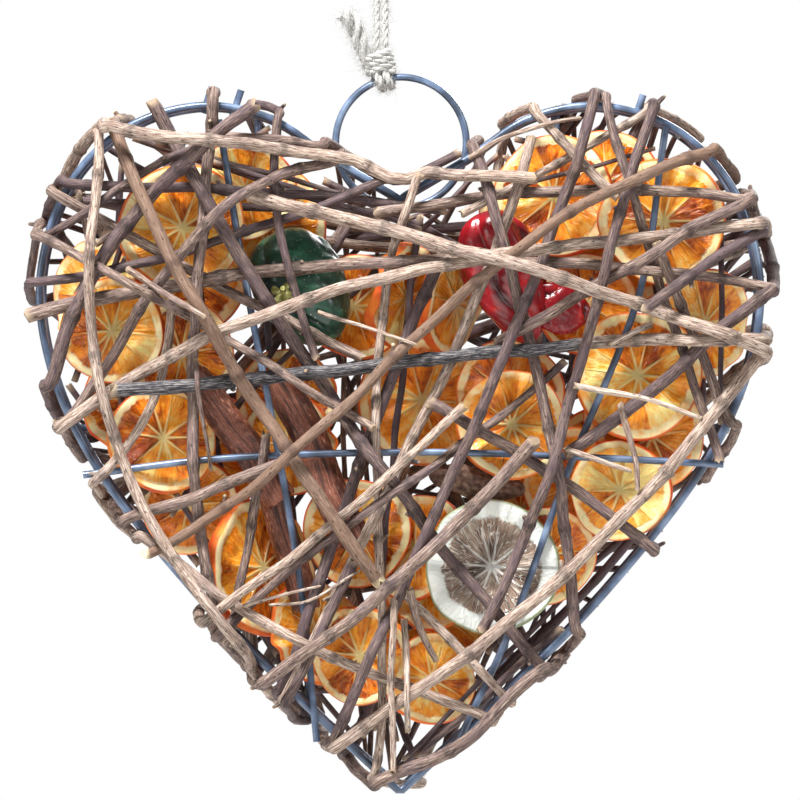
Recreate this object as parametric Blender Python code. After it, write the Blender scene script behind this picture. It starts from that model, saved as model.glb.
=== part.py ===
"""Wicker heart: a wire cage wound with vine twigs, filled with dried fruit and hung by a ring and a twine.

Sizes are in metres. The heart is laid out with its tip at z = 0, its mid-plane at x = 0, the front facing -Y
and the cage's middle at y = 0. One empty then lowers it all, so that the origin is at the top of the twine's
loop. Places round the rim are stations from 0 to 100, clockwise from the notch as seen from the front: the
right lobe's top is at 10, its widest point at 22, the tip at 50, the left lobe's top at 90. Places inside the
rim are shares of its half width and of its height.
"""
import math

import bmesh
import bpy
import numpy as np
from mathutils import Euler, Matrix, Vector
from mathutils.bvhtree import BVHTree

MM = 0.001

# Driving dimensions
HEART_WIDTH = 0.289
HEART_HEIGHT = 0.276
CAGE_DEPTH = 0.045
HOOP_WIRE = 0.0032
RIB_WIRE = 0.0029
RING_WIDTH = 0.0556
RING_WIRE = 0.0029
TWINE = 0.0028
TWINE_RISE = 0.054
LOOP_WIDTH = 0.0092
SLICE_THICKNESS = 0.0054
CINNAMON_WALL = 0.0016
CLEARANCE = 0.0003

# Half the rim from the notch, round the right lobe, to the tip: shares of half width and of height
RIM_SHAPE = [(0, .864), (.187, .922), (.36, .981), (.553, .9995), (.761, .967), (.92, .884),
             (1.0, .754), (.976, .627), (.858, .4855), (.581, .297), (.29, .141), (0, 0)]

HALF_WIDTH = HEART_WIDTH / 2
HOOP_Y = CAGE_DEPTH / 2
HOOP_R = HOOP_WIRE / 2
RIB_R = RIB_WIRE / 2


def new_collection(name):
    group = bpy.data.collections.new(name)
    bpy.context.scene.collection.children.link(group)
    return group


for leftover in list(bpy.data.objects):
    bpy.data.objects.remove(leftover)
PARTS = new_collection("wicker_heart")
CUTTERS = new_collection("joined_wires")


def material(name, colour, roughness, metallic=0.0):
    made = bpy.data.materials.new(name)
    made.use_nodes = True
    shader = made.node_tree.nodes["Principled BSDF"]
    shader.inputs["Base Color"].default_value = (*colour, 1)
    shader.inputs["Roughness"].default_value = roughness
    shader.inputs["Metallic"].default_value = metallic
    return made


COATED_WIRE = material("coated_wire", (0.20, 0.34, 0.58), 0.35)
VINE_BARK = material("vine_bark", (0.47, 0.38, 0.34), 0.85)
DARK_BARK = material("dark_bark", (0.12, 0.13, 0.19), 0.8)
JUTE = material("jute", (0.70, 0.68, 0.62), 0.95)
DRIED_ORANGE = material("dried_orange", (0.80, 0.22, 0.02), 0.5)
DRIED_LIME = material("dried_lime", (0.72, 0.76, 0.66), 0.6)
GREEN_SKIN = material("green_skin", (0.02, 0.09, 0.05), 0.3)
RED_SKIN = material("red_skin", (0.45, 0.01, 0.02), 0.2)
CINNAMON_BARK = material("cinnamon_bark", (0.24, 0.10, 0.06), 0.8)
BROWN_HUSK = material("brown_husk", (0.16, 0.09, 0.07), 0.85)


def smooth_curve(points, steps, closed=False):
    """Centripetal Catmull-Rom curve through the points, with so many steps to each span."""
    points = np.asarray(points, float)
    if closed:
        padded = np.vstack([points[-1], points, points[:2]])
    else:
        padded = np.vstack([2 * points[0] - points[1], points, 2 * points[-1] - points[-2]])
    spans = []
    for i in range(1, len(padded) - 2):
        a, b, c, d = padded[i - 1:i + 3]
        t1 = np.linalg.norm(b - a) ** 0.5
        t2 = t1 + np.linalg.norm(c - b) ** 0.5
        t3 = t2 + np.linalg.norm(d - c) ** 0.5
        t = np.linspace(t1, t2, steps, endpoint=False)[:, None]
        ab = (t1 - t) / t1 * a + t / t1 * b
        bc = (t2 - t) / (t2 - t1) * b + (t - t1) / (t2 - t1) * c
        cd = (t3 - t) / (t3 - t2) * c + (t - t2) / (t3 - t2) * d
        left = (t2 - t) / t2 * ab + t / t2 * bc
        right = (t3 - t) / (t3 - t1) * bc + (t - t1) / (t3 - t1) * cd
        spans.append((t2 - t) / (t2 - t1) * left + (t - t1) / (t2 - t1) * right)
    if not closed:
        spans.append(points[-1:])
    return np.vstack(spans)


def lengths_along(points):
    return np.concatenate([[0], np.cumsum(np.linalg.norm(np.diff(points, axis=0), axis=1))])


def thinned(points, tolerance):
    """Indices of the points that keep a line within the tolerance (Douglas-Peucker)."""
    keep = {0, len(points) - 1}
    stack = [(0, len(points) - 1)]
    while stack:
        a, b = stack.pop()
        if b - a < 2:
            continue
        chord = points[b] - points[a]
        inner = points[a + 1:b] - points[a]
        share = np.clip(inner @ chord / max(chord @ chord, 1e-12), 0, 1)
        off = np.linalg.norm(inner - share[:, None] * chord, axis=1)
        if off.max() > tolerance:
            far = a + 1 + int(off.argmax())
            keep.add(far)
            stack += [(a, far), (far, b)]
    return sorted(keep)


RIM_STEPS = 40
right_half = smooth_curve(np.array(RIM_SHAPE) * (HALF_WIDTH, HEART_HEIGHT), RIM_STEPS)
OUTLINE = np.vstack([right_half, right_half[::-1][1:] * (-1, 1)])
OUTLINE_LENGTHS = lengths_along(OUTLINE)
PERIMETER = OUTLINE_LENGTHS[-1]


def rim_point(station):
    """Point (x, z) on the rim at a station, or an array of them."""
    along = np.mod(station, 100) / 100 * PERIMETER
    return np.stack([np.interp(along, OUTLINE_LENGTHS, OUTLINE[:, 0]),
                     np.interp(along, OUTLINE_LENGTHS, OUTLINE[:, 1])], -1)


def rim_direction(station):
    """Unit direction (x, z) along the rim, clockwise."""
    step = rim_point(np.asarray(station) + 0.5) - rim_point(np.asarray(station) - 0.5)
    return step / np.linalg.norm(step, axis=-1, keepdims=True)


def rim_outward(station):
    along = rim_direction(station)
    return np.stack([-along[..., 1], along[..., 0]], -1)


def in_heart(across, y, up):
    """Point at shares of the half width and of the height."""
    return (across * HALF_WIDTH, y, up * HEART_HEIGHT)


def add_tube(name, points, radii, finish, closed=False, resolution=1):
    """Curve object with a round section: six sides at resolution 1, four at 0."""
    curve = bpy.data.curves.new(name, "CURVE")
    curve.dimensions = "3D"
    curve.bevel_depth = 1.0
    curve.bevel_resolution = resolution
    curve.use_fill_caps = not closed
    spline = curve.splines.new("POLY")
    spline.points.add(len(points) - 1)
    for place, point, radius in zip(spline.points, points, np.broadcast_to(radii, len(points))):
        place.co = (*point, 1)
        place.radius = radius
    spline.use_cyclic_u = closed
    curve.materials.append(finish)
    tube = bpy.data.objects.new(name, curve)
    PARTS.objects.link(tube)
    return tube


def as_mesh(tube):
    """The tube's mesh object in place of its curve, with its caps welded on."""
    bpy.context.view_layer.update()
    evaluated = tube.evaluated_get(bpy.context.evaluated_depsgraph_get())
    mesh = bpy.data.meshes.new_from_object(evaluated)
    shell = bmesh.new()
    shell.from_mesh(mesh)
    bmesh.ops.remove_doubles(shell, verts=shell.verts, dist=1e-6)
    shell.to_mesh(mesh)
    shell.free()
    solid = bpy.data.objects.new(tube.name, mesh)
    solid.matrix_world = tube.matrix_world
    PARTS.objects.link(solid)
    bpy.data.objects.remove(tube)
    return solid


def join(base, piece):
    """Unite the piece with the base and keep it as a hidden cutter."""
    PARTS.objects.unlink(piece)
    CUTTERS.objects.link(piece)
    piece.hide_render = True
    piece.display_type = "WIRE"
    union = base.modifiers.new(piece.name, "BOOLEAN")
    union.operation = "UNION"
    union.solver = "EXACT"
    union.object = piece


# Wire frame. The ribs and bars lie on the outer faces of the hoops and sink into them a little, as welds do.
WELD_DEPTH = 0.4 * RIB_R
RIB_Y = HOOP_Y + HOOP_R + RIB_R - WELD_DEPTH
WIRE_TOLERANCE = 0.0004
HOOK_FOOT = (-0.002, -0.003)
HOOK_BEND = (0, 0.003)
HOOK_TIP = (0.0015, 0.0075)
FRONT_RIB_OVERSHOOT = 0.004
FRONT_BAR_OVERSHOOT = 0.006
BACK_OVERSHOOT = 0.003
RIB_STEPS = 10
# Ribs and bars as (across, up) shares, from the top down or from left to right
FRONT_RIBS = [
    [(-.50, .965), (-.4325, .752), (-.325, .4565), (-.267, .262), (-.234, .088)],
    [(.735, .955), (.668, .731), (.467, .467), (.298, .226), (.166, .078)],
]
FRONT_BAR = [(-.84, .4645), (-.518, .485), (.055, .495), (.498, .488), (.858, .4785)]
BACK_RIBS = [
    [(-.40, .985), (-.36, .60), (-.25, .117)],
    [(.44, .99), (.40, .60), (.27, .125)],
]
BACK_BAR = [(-.905, .53), (0, .545), (.905, .53)]
SPREADER_STATIONS = [13.8, 29.0, 44.0, 56.9, 70.6, 85.0]
# Wire ends that stick up past the hoop, as stations
HOOK_STATIONS = [11.75, 90.4, 91.7]


def rib_line(shares, y):
    line = smooth_curve([in_heart(across, y, up) for across, up in shares], RIB_STEPS)
    return line[thinned(line, WIRE_TOLERANCE)]


def with_ends(line, overshoot):
    """The line, run on past both its ends."""
    first = line[0] - line[1]
    last = line[-1] - line[-2]
    return np.vstack([line[0] + first / np.linalg.norm(first) * overshoot, line,
                      line[-1] + last / np.linalg.norm(last) * overshoot])


hoop_outline = OUTLINE[:-1][thinned(OUTLINE[:-1], WIRE_TOLERANCE)]
wire_lines = []
for side in (-1, 1):
    loop = [(x, side * HOOP_Y, z) for x, z in hoop_outline]
    wire_lines.append((f"hoop_{side}", np.array(loop), HOOP_R, True))
for number, shares in enumerate(FRONT_RIBS):
    rib = with_ends(rib_line(shares, -RIB_Y), FRONT_RIB_OVERSHOOT)
    wire_lines.append((f"front_rib_{number}", rib, RIB_R, False))
front_bar = with_ends(rib_line(FRONT_BAR, -RIB_Y), FRONT_BAR_OVERSHOOT)
wire_lines.append(("front_bar", front_bar, RIB_R, False))
for number, shares in enumerate(BACK_RIBS):
    rib = with_ends(rib_line(shares, RIB_Y), BACK_OVERSHOOT)
    wire_lines.append((f"back_rib_{number}", rib, RIB_R, False))
back_bar = with_ends(rib_line(BACK_BAR, RIB_Y), BACK_OVERSHOOT)
wire_lines.append(("back_bar", back_bar, RIB_R, False))
for number, station in enumerate(SPREADER_STATIONS):
    x, z = rim_point(station)
    ends = np.array([(x, -HOOP_Y, z), (x, HOOP_Y, z)])
    wire_lines.append((f"spreader_{number}", ends, RIB_R, False))
hook_y = -(HOOP_Y - HOOP_R - RIB_R + WELD_DEPTH)
for number, station in enumerate(HOOK_STATIONS):
    x, z = rim_point(station)
    hook = np.array([(x + across, hook_y, z + up) for across, up in (HOOK_FOOT, HOOK_BEND, HOOK_TIP)])
    wire_lines.append((f"hook_{number}", hook, RIB_R, False))

# Hanging ring: its lower edge passes under the spreader in the notch, which rests on it
RING_RADIUS = (RING_WIDTH - RING_WIRE) / 2
NOTCH_Z = RIM_SHAPE[0][1] * HEART_HEIGHT
RING_X = 0.0004
RING_Z = NOTCH_Z - RIB_R - CLEARANCE - RING_WIRE / 2 + RING_RADIUS
RING_POINTS = 22
notch_spreader = np.array([(0, -HOOP_Y, NOTCH_Z), (0, HOOP_Y, NOTCH_Z)])
wire_lines.append(("notch_spreader", notch_spreader, RIB_R, False))

wires = [as_mesh(add_tube(name, line, radius, COATED_WIRE, closed))
         for name, line, radius, closed in wire_lines]
wire_frame = wires[0]
wire_frame.name = "wire_frame"
for wire in wires[1:]:
    join(wire_frame, wire)

ring_angles = np.arange(RING_POINTS) / RING_POINTS * math.tau
ring_line = np.stack([RING_X + RING_RADIUS * np.sin(ring_angles), 0 * ring_angles,
                      RING_Z + RING_RADIUS * np.cos(ring_angles)], -1)
add_tube("hanging_ring", ring_line, RING_WIRE / 2, COATED_WIRE, closed=True)

# Twine: a hitch of three turns round the ring's wire, a doubled strand that opens into a loop, a frayed tail
KNOT_ANGLE = math.radians(-14)
KNOT_TURNS = 2.5
KNOT_STEPS = 8
KNOT_PITCH = 0.0034
KNOT_SLACK = 0.0005
TWINE_R = TWINE / 2
knot_radius = RING_WIRE / 2 + CLEARANCE + TWINE_R + KNOT_SLACK
knot_centre = np.array([RING_X + RING_RADIUS * math.sin(KNOT_ANGLE), 0,
                        RING_Z + RING_RADIUS * math.cos(KNOT_ANGLE)])
knot_along = np.array([math.cos(KNOT_ANGLE), 0, -math.sin(KNOT_ANGLE)])
knot_out = np.array([math.sin(KNOT_ANGLE), 0, math.cos(KNOT_ANGLE)])
turn = np.linspace(-KNOT_TURNS / 2, KNOT_TURNS / 2, int(KNOT_TURNS * KNOT_STEPS) + 1)
knot_line = (knot_centre + np.outer(turn * KNOT_PITCH, knot_along)
             + knot_radius * np.outer(np.cos(turn * math.tau), knot_out)
             + knot_radius * np.outer(np.sin(turn * math.tau), [0, -1, 0]))
add_tube("twine_knot", knot_line, TWINE_R, JUTE)

TWINE_FOOT = knot_centre + knot_out * (knot_radius + TWINE_R + 2 * CLEARANCE + TWINE_R)
STRAND_GAP = TWINE + 2 * CLEARANCE
LOOP_X = TWINE_FOOT[0]
LOOP_TOP = TWINE_FOOT[2] + TWINE_RISE
# The strand's route from the knot up, round the loop and back: across in loop widths, up in rises
TWINE_ROUTE = [(.5, 0), (.5, .2), (.5, .4), (.52, .56), (.78, .68), (1.0, .80), (.86, .93), (0, 1.0),
               (-.86, .93), (-1.0, .80), (-.78, .68), (-.52, .56), (-.5, .4), (-.5, .2), (-.5, 0)]


def twine_point(across, up):
    """Strands lie side by side where across is a half, and open to the loop's width at one."""
    opened = max(0, 2 * abs(across) - 1)
    offset = (STRAND_GAP + (LOOP_WIDTH - STRAND_GAP) * opened) / 2
    return (LOOP_X + np.sign(across) * offset, 0, TWINE_FOOT[2] + up * TWINE_RISE)


TWINE_STEPS = 4
TWINE_TOLERANCE = 0.0002
twine_line = smooth_curve([twine_point(across, up) for across, up in TWINE_ROUTE], TWINE_STEPS)
twine_line = twine_line[thinned(twine_line, TWINE_TOLERANCE)]
add_tube("hanging_twine", twine_line, TWINE_R, JUTE)
# The tail frays out: shares of its way to the tip, and its thickness there over the twine's
TAIL_TIP = np.array([-0.0105, -0.001, 0.021])
TAIL_SHARES = (0, .35, .7, 1)
TAIL_SWELL = np.array([1.0, 0.8, 1.5, 2.1])
tail_foot = TWINE_FOOT + (-STRAND_GAP / 2 - TWINE - 2 * CLEARANCE, 0, 0)
tail_line = [tail_foot + TAIL_TIP * share for share in TAIL_SHARES]
add_tube("twine_tail", tail_line, TAIL_SWELL * TWINE_R, JUTE)

# Dried fruit and spice, each modelled about its own middle and then slid in between the hoops
SLICE_SIDES = 18
SLICE_TAPER = 0.97
SLICE_HOLLOW = 0.6
SLICE_TWIST = 0.0008
LIME_TWIST = 0.0004
OUT_OF_ROUND = 0.025
SHARP_ANGLE = math.radians(50)


def mesh_object(name, shell, finish):
    mesh = bpy.data.meshes.new(name)
    shell.to_mesh(mesh)
    shell.free()
    mesh.materials.append(finish)
    mesh.shade_smooth()
    mesh.set_sharp_from_angle(angle=SHARP_ANGLE)
    made = bpy.data.objects.new(name, mesh)
    PARTS.objects.link(made)
    return made


def slice_shell(diameter, thickness, cup, twist):
    """Flat disc facing Y, thinner in its middle, bent like a dried slice: cup bows it, twist warps its rim."""
    shell = bmesh.new()
    radius = diameter / 2
    # Each diameter gives its own start of the warp and of the out-of-round shape
    start = diameter / MM
    bmesh.ops.create_cone(shell, cap_ends=True, cap_tris=True, segments=SLICE_SIDES, radius1=radius,
                          radius2=radius * SLICE_TAPER, depth=thickness,
                          matrix=Matrix.Rotation(math.pi / 2, 4, "X"))
    for vert in shell.verts:
        reach = math.hypot(vert.co.x, vert.co.z) / radius
        angle = math.atan2(vert.co.z, vert.co.x)
        if reach < 0.1:
            vert.co.y *= SLICE_HOLLOW
        vert.co.y += cup * reach ** 2 + twist * reach * math.sin(2 * angle + start)
        stretch = 1 - OUT_OF_ROUND * reach * math.cos(3 * angle + start)
        vert.co.x *= stretch
        vert.co.z *= stretch
    return shell


PEPPER_SIDES = 14
PEPPER_ROWS = 9
FOLD_DEPTH = 0.09
FOLD_TURN = 1.5


def pepper_shell(width, depth, height, lobes, pinch):
    """Dried pepper: a ball drawn out along Z, with folds that run from the top to a narrower foot."""
    shell = bmesh.new()
    bmesh.ops.create_uvsphere(shell, u_segments=PEPPER_SIDES, v_segments=PEPPER_ROWS, radius=1)
    for vert in shell.verts:
        x, y, z = vert.co
        angle = math.atan2(y, x)
        fold = 1 + FOLD_DEPTH * math.cos(lobes * angle + FOLD_TURN * z) * math.sqrt(max(0, 1 - z * z))
        narrow = 1 - pinch * (0.5 - 0.5 * z)
        vert.co = Vector((x * fold * narrow * width / 2, y * fold * narrow * depth / 2, z * height / 2))
    return shell


# Cinnamon bark rolls in on two sides: how far it turns, and from which share of that it tightens, by how much
QUILL_STEPS = 9
QUILL_TURN = math.radians(302)
QUILL_TIGHTENS = 0.55
QUILL_TIGHTENING = 0.55
QUILL_SPACING = 4.3


def quill_scroll(diameter, side, wall):
    """One rolled half of a stick's section, from its middle, at a depth of wall into the bark."""
    share = np.linspace(0, 1, QUILL_STEPS)
    angle = side * QUILL_TURN * share - math.pi / 2
    tightening = np.clip((share - QUILL_TIGHTENS) / (1 - QUILL_TIGHTENS), 0, 1)
    radius = diameter / 4 * (1 - QUILL_TIGHTENING * tightening) - wall
    x = side * diameter / QUILL_SPACING + radius * np.cos(angle)
    return np.stack([x, radius * np.sin(angle)], -1)


def quill_shell(diameter, length):
    """Cinnamon stick along Z: one sheet of bark rolled inwards from both its edges."""
    shell = bmesh.new()
    right_out, right_in = quill_scroll(diameter, 1, 0), quill_scroll(diameter, 1, CINNAMON_WALL)
    left_out, left_in = quill_scroll(diameter, -1, 0), quill_scroll(diameter, -1, CINNAMON_WALL)
    section = np.vstack([right_out, right_in[:0:-1], left_in[1:], left_out[:0:-1]])
    low = [shell.verts.new((x, y, -length / 2)) for x, y in section]
    grown = bmesh.ops.extrude_face_region(shell, geom=[shell.faces.new(low)])
    moved = [item for item in grown["geom"] if isinstance(item, bmesh.types.BMVert)]
    bmesh.ops.translate(shell, verts=moved, vec=(0, 0, length))
    bmesh.ops.recalc_face_normals(shell, faces=shell.faces)
    return shell


POD_SIDES = 10
POD_ROWS = 8
WRINKLE_DEPTH = 0.12
WRINKLES_ALONG = 9


def husk_shell(length, width, depth):
    """Wrinkled pod along X, pinched at its ends."""
    shell = bmesh.new()
    bmesh.ops.create_uvsphere(shell, u_segments=POD_SIDES, v_segments=POD_ROWS, radius=1,
                              matrix=Matrix.Rotation(math.pi / 2, 4, "Y"))
    for vert in shell.verts:
        x, y, z = vert.co
        wrinkle = 1 + WRINKLE_DEPTH * math.sin(WRINKLES_ALONG * x + 3 * math.atan2(z, y))
        vert.co = Vector((x * length / 2, y * wrinkle * depth / 2, z * wrinkle * width / 2))
    return shell


# Slices as (across, up, diameter, turn about Z, lean about X, cup), in the order they are put in: first the
# ones against the front of the cage, then the ones behind those, then the ones against its back. Turns and
# leans are in degrees.
FRONT_SLICES = [
    (-.606, .823, .0510, 4, 4, .0014),
    (.431, .868, .0495, -8, -4, -.0012),
    (.662, .607, .0520, 5, -5, .0014),
    (-.390, .325, .0560, 46, -8, .0010),
    (.010, .722, .0430, 56, 10, .0010),
    (.150, .712, .0400, 56, 12, .0010),
    (-.110, .199, .0400, -10, 6, .0010),
    (-.660, .515, .0440, 8, -8, .0012),
    (.615, .440, .0410, -8, 6, -.0010),
    (.733, .832, .0510, -4, 5, .0010),
    (-.800, .672, .0430, -8, 3, .0010),
    (.085, .163, .0370, 12, -6, .0008),
]
MIDDLE_SLICES = [
    (-.375, .825, .0500, 0, 0, .0010),
    (.700, .520, .0440, 5, 5, .0008),
    (-.590, .418, .0400, -3, 5, .0008),
    (-.610, .640, .0430, 4, 5, -.0008),
    (.410, .345, .0400, 5, 4, .0008),
    (.520, .712, .0410, 5, -3, .0010),
    (.310, .535, .0440, 3, -4, .0010),
]
BACK_SLICES = [
    (-.620, .760, .0550, 3, 3, -.0008),
    (.600, .800, .0540, -3, 3, -.0008),
    (.060, .570, .0520, 3, -3, -.0008),
    (.560, .470, .0500, -3, 3, -.0008),
    (-.550, .490, .0500, 3, 3, -.0008),
    (.100, .260, .0480, -3, -3, -.0008),
]
# Lime slice as (across, up, diameter, thickness, cup)
LIME = (.256, .328, .0540, .0065, .0008)
# Peppers as (across, up, width, depth, height, folds, share by which the foot is narrower)
GREEN_PEPPER = (-.280, .735, .0420, .0300, .0500, 3, .25)
RED_PEPPER = (.290, .750, .0400, .0250, .0560, 4, .35)
# Cinnamon sticks as (across, up, diameter, length, tilt in degrees from upright, seen from the front)
CINNAMON = [(-.455, .515, .0140, .062, 36), (-.235, .485, .0150, .074, 25), (-.325, .372, .0120, .062, 18)]
# Brown pod as (across, up, length, width, depth)
HUSK = (.215, .450, .0400, .0130, .0120)

SETTLE_STEP = 0.0006
SETTLE_LIMIT = 120
SETTLE_ROOM = 0.00045


def tree_of(mesh, matrix, swell=0.0):
    """Search tree of a mesh where the matrix puts it, swollen along its normals."""
    points = [matrix @ (vert.co + vert.normal * swell) for vert in mesh.vertices]
    return BVHTree.FromPolygons(points, [list(face.vertices) for face in mesh.polygons])


bpy.context.view_layer.update()
frame_tree = tree_of(wire_frame.evaluated_get(bpy.context.evaluated_depsgraph_get()).to_mesh(), Matrix())
settled_trees = [frame_tree]


def settle(piece, across, up, turn=0.0, lean=0.0, roll=0.0, way=1):
    """Turn the piece, start it just inside one face of the cage and slide it in until it touches nothing."""
    rotation = Euler((math.radians(lean), math.radians(roll), math.radians(turn))).to_matrix().to_4x4()
    depths = [(rotation @ vert.co).y * way for vert in piece.data.vertices]
    y = way * (-HOOP_Y - HOOP_R + CLEARANCE - min(depths))
    for _ in range(SETTLE_LIMIT):
        place = Matrix.Translation(in_heart(across, y, up)) @ rotation
        swollen = tree_of(piece.data, place, SETTLE_ROOM)
        if not any(swollen.overlap(other) for other in settled_trees):
            break
        y += way * SETTLE_STEP
    piece.matrix_world = place
    settled_trees.append(tree_of(piece.data, place))


def add_slice(number, row, way=1):
    across, up, diameter, turn_by, lean_by, cup = row
    shell = slice_shell(diameter, SLICE_THICKNESS, cup, SLICE_TWIST)
    piece = mesh_object(f"orange_slice_{number:02d}", shell, DRIED_ORANGE)
    settle(piece, across, up, turn_by, lean_by, way=way)


lime = mesh_object("lime_slice", slice_shell(*LIME[2:], twist=LIME_TWIST), DRIED_LIME)
settle(lime, *LIME[:2], turn=-4, lean=-3)
green = mesh_object("green_pepper", pepper_shell(*GREEN_PEPPER[2:]), GREEN_SKIN)
settle(green, *GREEN_PEPPER[:2], turn=10, lean=-12, roll=-28)
red = mesh_object("red_pepper", pepper_shell(*RED_PEPPER[2:]), RED_SKIN)
settle(red, *RED_PEPPER[:2], turn=-14, lean=8, roll=-20)
for number, (across, up, diameter, length, tilt) in enumerate(CINNAMON, 1):
    quill = mesh_object(f"cinnamon_{number}", quill_shell(diameter, length), CINNAMON_BARK)
    settle(quill, across, up, roll=-tilt)
husk = mesh_object("brown_pod", husk_shell(*HUSK[2:]), BROWN_HUSK)
settle(husk, *HUSK[:2], turn=8, roll=10)
for number, row in enumerate(FRONT_SLICES + MIDDLE_SLICES, 1):
    add_slice(number, row)
for number, row in enumerate(BACK_SLICES, len(FRONT_SLICES + MIDDLE_SLICES) + 1):
    add_slice(number, row, way=-1)

# Vine twigs, in the order they are wound on: each lies over the ones before it. A twig crosses the front,
# goes over the rim, crosses the back and comes over the rim to the front again. The columns are its
# diameters at its first and last end; its first pass on the front, as the share of the pass where it starts,
# the station it comes from, the station it goes over, its bow and its sway; the bow of its pass on the back;
# and its second pass on the front, as the station it comes over, the station it heads for, its bow, its sway
# and the share where it ends. A share of exactly 0 or 1 runs on over the rim and ends on the side. Diameters,
# bows and sways are in millimetres. A bow is to the upper right where it is positive, and a sway bends the
# pass's first half that way and its second half the other.
VINES = [
    (4.4, 5.2, (.47, 22.7, 83.0, 16, 2), -6, (57.0, 5.3, -5, 1, .78)),
    (4.4, 4.8, (.51, 31.6, 82.4, -7, 0), -12, (17.8, 80.1, 5, 5, .52)),
    (4.0, 3.6, (-.03, 0.6, 51.4, -7, -4), 6, (12.0, 73.1, -4, 0, .32)),
    (4.8, 4.4, (.04, 7.1, 56.6, 6, 2), 5, (7.1, 23.3, -2, 0, .37)),
    (4.0, 4.2, (.61, 93.5, 60.3, 8, 1), -5, (10.2, 29.2, -1, 0, 1.04)),
    (6.4, 4.4, (-.015, 77.1, 21.7, 15, 0), None, None),
    (5.2, 4.4, (0, 90.6, 61.1, -9, 2), -6, (27.9, 10.2, -1, 0, .56)),
    (6.0, 3.6, (-.02, 88.2, 41.6, -8, 0), 4, (93.5, 46.6, -7, -7, .37)),
    (4.8, 5.2, (.50, 85.2, 95.8, 5, 0), -6, (67.1, 21.2, 3, -4, .25)),
    (4.0, 4.8, (.11, 5.6, 78.4, -6, 1), 10, (19.4, 61.0, -3, 3, .20)),
    (3.6, 5.2, (.37, 14.3, 60.6, -21, -8), 4, (34.5, 80.8, 9, 2, .38)),
    (4.0, 4.0, (.76, 77.5, 43.7, 9, 1), -8, (69.3, 90.0, 9, 6, .48)),
    (3.6, 4.4, (.36, 95.6, 80.5, 14, 3), 12, (56.4, 4.1, 13, -4, .25)),
    (6.0, 5.6, (-.02, 92.2, 74.0, -13, 1), -6, (21.9, 59.7, -11, -1, .40)),
    (4.8, 5.0, (0, 96.7, 72.2, 16, 4), 5, (39.4, 4.0, 6, 1, 1)),
    (5.6, 4.4, (0, 72.1, 19.0, 20, 3), -8, (66.2, 44.9, -9, -1, 1)),
    (6.0, 4.0, (.08, 73.4, 24.1, 2, -2), 10, (61.5, 16.8, -1, -3, .48)),
    (4.8, 4.8, (0, 9.7, 53.8, 4, 1), -6, (12.2, 51.6, 18, -5, .76)),
    (5.0, 5.6, (.59, 66.5, 17.9, -4, -1), 4, (51.1, 41.5, -8, -1, 1)),
    (3.6, 6.0, (.43, 37.2, 80.4, 5, 0), 8, (57.7, 18.7, -6, -3, .53)),
    (6.0, 4.6, (.25, 45.4, 86.1, -8, 2), -34, (15.3, 65.2, 9, 7, 1.03)),
    (4.4, 6.0, (0, 85.5, 58.7, -30, 0), -6, (24.5, 84.6, 5, 1, .76)),
    (5.2, 5.6, (.29, 15.1, 85.9, -10, -5), 6, (53.5, 25.4, -11, 0, 1.02)),
]
STRAIGHT_TWIG_END = 1.015
DARK_TWIGS = {17}
FRONT_STEP = 0.020
BACK_STEP = 0.024
OBSTACLE_STEP = 0.001
TWIG_CLEARANCE = 0.0003
BOW_SIDE = (0.75, 1.0)
# Makes the greatest offset of a sway's curve equal to the sway
SWAY_SCALE = 2.6
SELF_DISTANCE = 0.05
TUCK_SHARE = 0.34
DRIFT_SHARE = 0.6
FRONT, BACK = -1, 1
# A twig turns a hoop in two steps, along sides of an octagon about the hoop's wire
HALF_TURN_STEP = math.pi / 8
# Heights a twig may take over the hoops, and what it shuns: height, slopes and going under others in front
HIGHEST_LIFT = 0.036
LIFT_STEP = 0.0006
FINE_STEP = 0.0002
LIFTS = np.arange(0.0018, HIGHEST_LIFT, LIFT_STEP)
FINE_HEIGHTS = int(HIGHEST_LIFT / FINE_STEP) + 2
STRETCH = np.linspace(0, 1, 25)
HEIGHT_INDEX = np.rint((LIFTS[:, None, None] * (1 - STRETCH) + LIFTS[None, :, None] * STRETCH)
                       / FINE_STEP).astype(int)
UNDER_PENALTY = 0.005
SLOPE_PENALTY = 0.02
NEVER = 1000.0


def across_face(from_station, to_station, bow, sway, start, end, face, step):
    """Bends of a pass over one face between two shares of its chord: core points and push directions."""
    a, b = rim_point(from_station), rim_point(to_station)
    chord = b - a
    length = np.linalg.norm(chord)
    upper_right = np.array([-chord[1], chord[0]]) / length
    if upper_right @ BOW_SIDE < 0:
        upper_right = -upper_right
    share = np.linspace(start, end, max(1, round(length * abs(end - start) / step)) + 1)
    middle = 4 * share * (1 - share)
    side = (bow * middle + sway * middle * (1 - 2 * share) * SWAY_SCALE) * MM
    flat = a + np.outer(share, chord) + np.outer(side, upper_right)
    core = np.stack([flat[:, 0], np.full(len(share), face * HOOP_Y), flat[:, 1]], -1)
    return core, np.broadcast_to((0.0, face, 0.0), core.shape)


def round_hoop(station, face, leaving):
    """The two bends round one hoop, off a face onto the rim's side or back."""
    outward = rim_outward(station)
    across = rim_point(station)
    tilts = (HALF_TURN_STEP, 3 * HALF_TURN_STEP) if leaving else (3 * HALF_TURN_STEP, HALF_TURN_STEP)
    core = np.array([(across[0], face * HOOP_Y, across[1])] * 2)
    push = [(outward[0] * math.sin(tilt), face * math.cos(tilt), outward[1] * math.sin(tilt)) for tilt in tilts]
    return core, np.array(push) / math.cos(HALF_TURN_STEP)


def over_rim(station, drift, face):
    first = round_hoop(station, face, leaving=True)
    second = round_hoop(station + drift, -face, leaving=False)
    return np.vstack([first[0], second[0]]), np.vstack([first[1], second[1]])


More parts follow.
